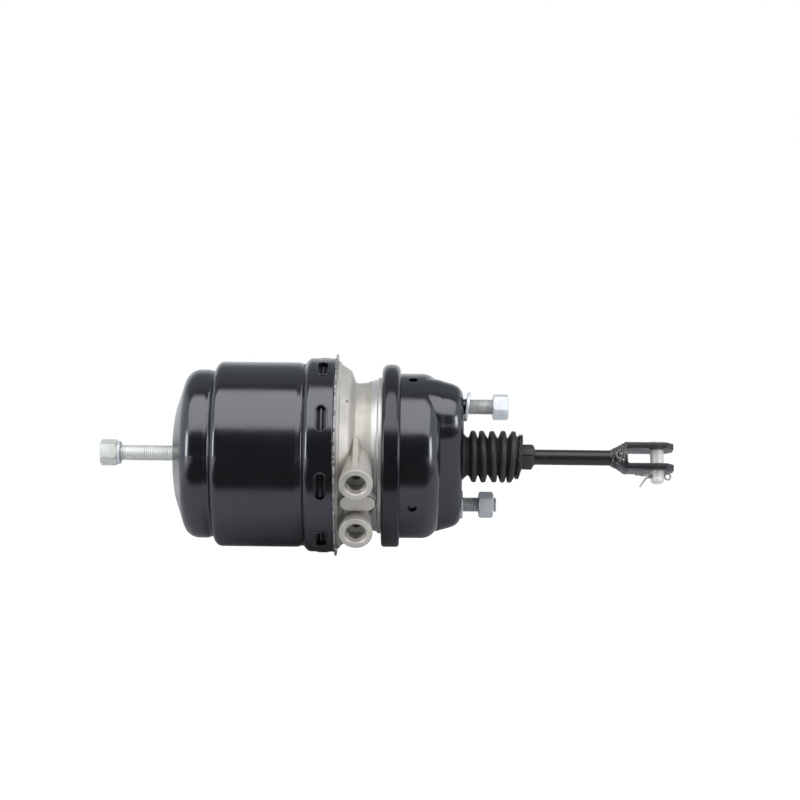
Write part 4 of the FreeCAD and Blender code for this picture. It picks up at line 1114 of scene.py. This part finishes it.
stands_for(softened("clevis_worked", "clevis", 0.7), "rod_black", ["clevis"], "pushrod")
stands_for(make_weld(), "rod_black", [], "pushrod", weld_black())
stands_for(make_pin(), "pin_zinc", ["clevis_pin"], "clevis_pin")


# Lights, camera and floor


def soft_box(name, place, target, width, height, watts):
    lamp = bpy.data.lights.new(name, "AREA")
    lamp.shape = "RECTANGLE"
    lamp.size = width
    lamp.size_y = height
    lamp.energy = watts
    box = link_to_scene(bpy.data.objects.new(name, lamp))
    box.location = place
    box.rotation_euler = (Vector(target) - Vector(place)).to_track_quat("-Z", "Y").to_euler()


def set_camera():
    data = bpy.data.cameras.new("camera")
    data.sensor_width = 36.0
    data.lens = 86.5
    camera = link_to_scene(bpy.data.objects.new("camera", data))
    place = Vector((-0.0619, -2.0, 0.0579))
    aim = Vector((0, 1, 0)).to_track_quat("-Z", "Y").to_matrix()
    roll = Matrix.Rotation(math.radians(-0.65), 3, "Y")
    camera.matrix_world = Matrix.Translation(place) @ (roll @ aim).to_4x4()
    bpy.context.scene.camera = camera


def white_surroundings():
    """World that is white to the camera. Reflections see white behind, a pale wall above and a dark front."""
    world = bpy.data.worlds.new("surroundings")
    bpy.context.scene.world = world
    world.use_nodes = True
    tree = world.node_tree
    tree.nodes.clear()
    calc = partial(maths, tree)
    axes = axes_of(tree, tree.nodes.new("ShaderNodeTexCoord").outputs["Generated"])
    rise = calc("ARCTAN2", axes["Z"], calc("MULTIPLY", axes["Y"], -1.0))
    above = calc("MULTIPLY", steps_between(tree, rise, 1.62, 1.76), 0.32)
    behind = calc("MULTIPLY", steps_between(tree, rise, 2.45, 2.75), 0.60)
    side = steps_between(tree, calc("ABSOLUTE", axes["X"]), 0.55, 0.75)
    level = calc("MAXIMUM", calc("ADD", calc("ADD", above, behind), 0.10), calc("MULTIPLY", side, 1.1))
    tent = add_node(tree, "ShaderNodeBackground", {"Strength": level}, Color=(0.90, 0.95, 1, 1))
    seen = add_node(tree, "ShaderNodeBackground", Color=(1, 1, 1, 1))
    direct = tree.nodes.new("ShaderNodeLightPath").outputs["Is Camera Ray"]
    choice = add_node(tree, "ShaderNodeMixShader", {0: direct, 1: tent.outputs[0], 2: seen.outputs[0]})
    add_node(tree, "ShaderNodeOutputWorld", {"Surface": choice.outputs[0]})


def pale_floor():
    """White floor, which keeps the chamber's shadow and is darker towards the front in reflections."""
    bm = bmesh.new()
    bmesh.ops.create_grid(bm, x_segments=1, y_segments=1, size=4.0)
    floor = piece_of(bm, "floor")
    floor.location = (0, 0, cad_box[0][2] - 0.001)
    finish = Finish("floor_white", (0.86, 0.86, 0.86), 0.6)
    tree = finish.tree
    calc = partial(maths, tree)
    path = tree.nodes.new("ShaderNodeLightPath").outputs
    axes = axes_of(tree, object_point(tree))
    front = steps_between(tree, calc("MULTIPLY", axes["Y"], -1.0), 0.148, 0.185)
    ends = steps_between(tree, calc("ABSOLUTE", axes["X"]), 0.45, 0.60)
    middle = calc("SUBTRACT", 1.0, ends)
    dark = calc("MULTIPLY", calc("MULTIPLY", front, middle), path["Is Glossy Ray"])
    finish.mix("Base Color", path["Is Glossy Ray"], (0.55, 0.55, 0.58))
    finish.mix("Base Color", dark, (0.02, 0.02, 0.02))
    aside = calc("MULTIPLY", ends, calc("SUBTRACT", 1.0, path["Is Camera Ray"]))
    set_inputs(finish.shader, Emission_Color=(1, 1, 1, 1))
    tree.links.new(calc("MULTIPLY", aside, 0.35), finish.shader.inputs["Emission Strength"])
    glow = add_node(tree, "ShaderNodeEmission", Strength=1.2)
    share = calc("MULTIPLY", path["Is Camera Ray"], 0.82)
    both = add_node(tree, "ShaderNodeMixShader", {0: share, 1: finish.shader.outputs[0], 2: glow.outputs[0]})
    tree.links.new(both.outputs[0], tree.nodes["Material Output"].inputs["Surface"])
    floor.data.materials.append(finish.material)


set_camera()
white_surroundings()
pale_floor()
soft_box("top_box", (-0.1, -0.836, 1.364), (-0.1, 0, 0), 3.0, 1.60, 42.0)
soft_box("left_box", (-1.5, -0.95, 0.28), (-0.1, 0, 0.05), 0.40, 0.74, 8.0)
soft_box("right_box", (1.4, -1.05, 0.28), (-0.05, 0, 0.05), 0.40, 0.74, 8.0)

scene = bpy.context.scene
scene.view_settings.view_transform = "Standard"
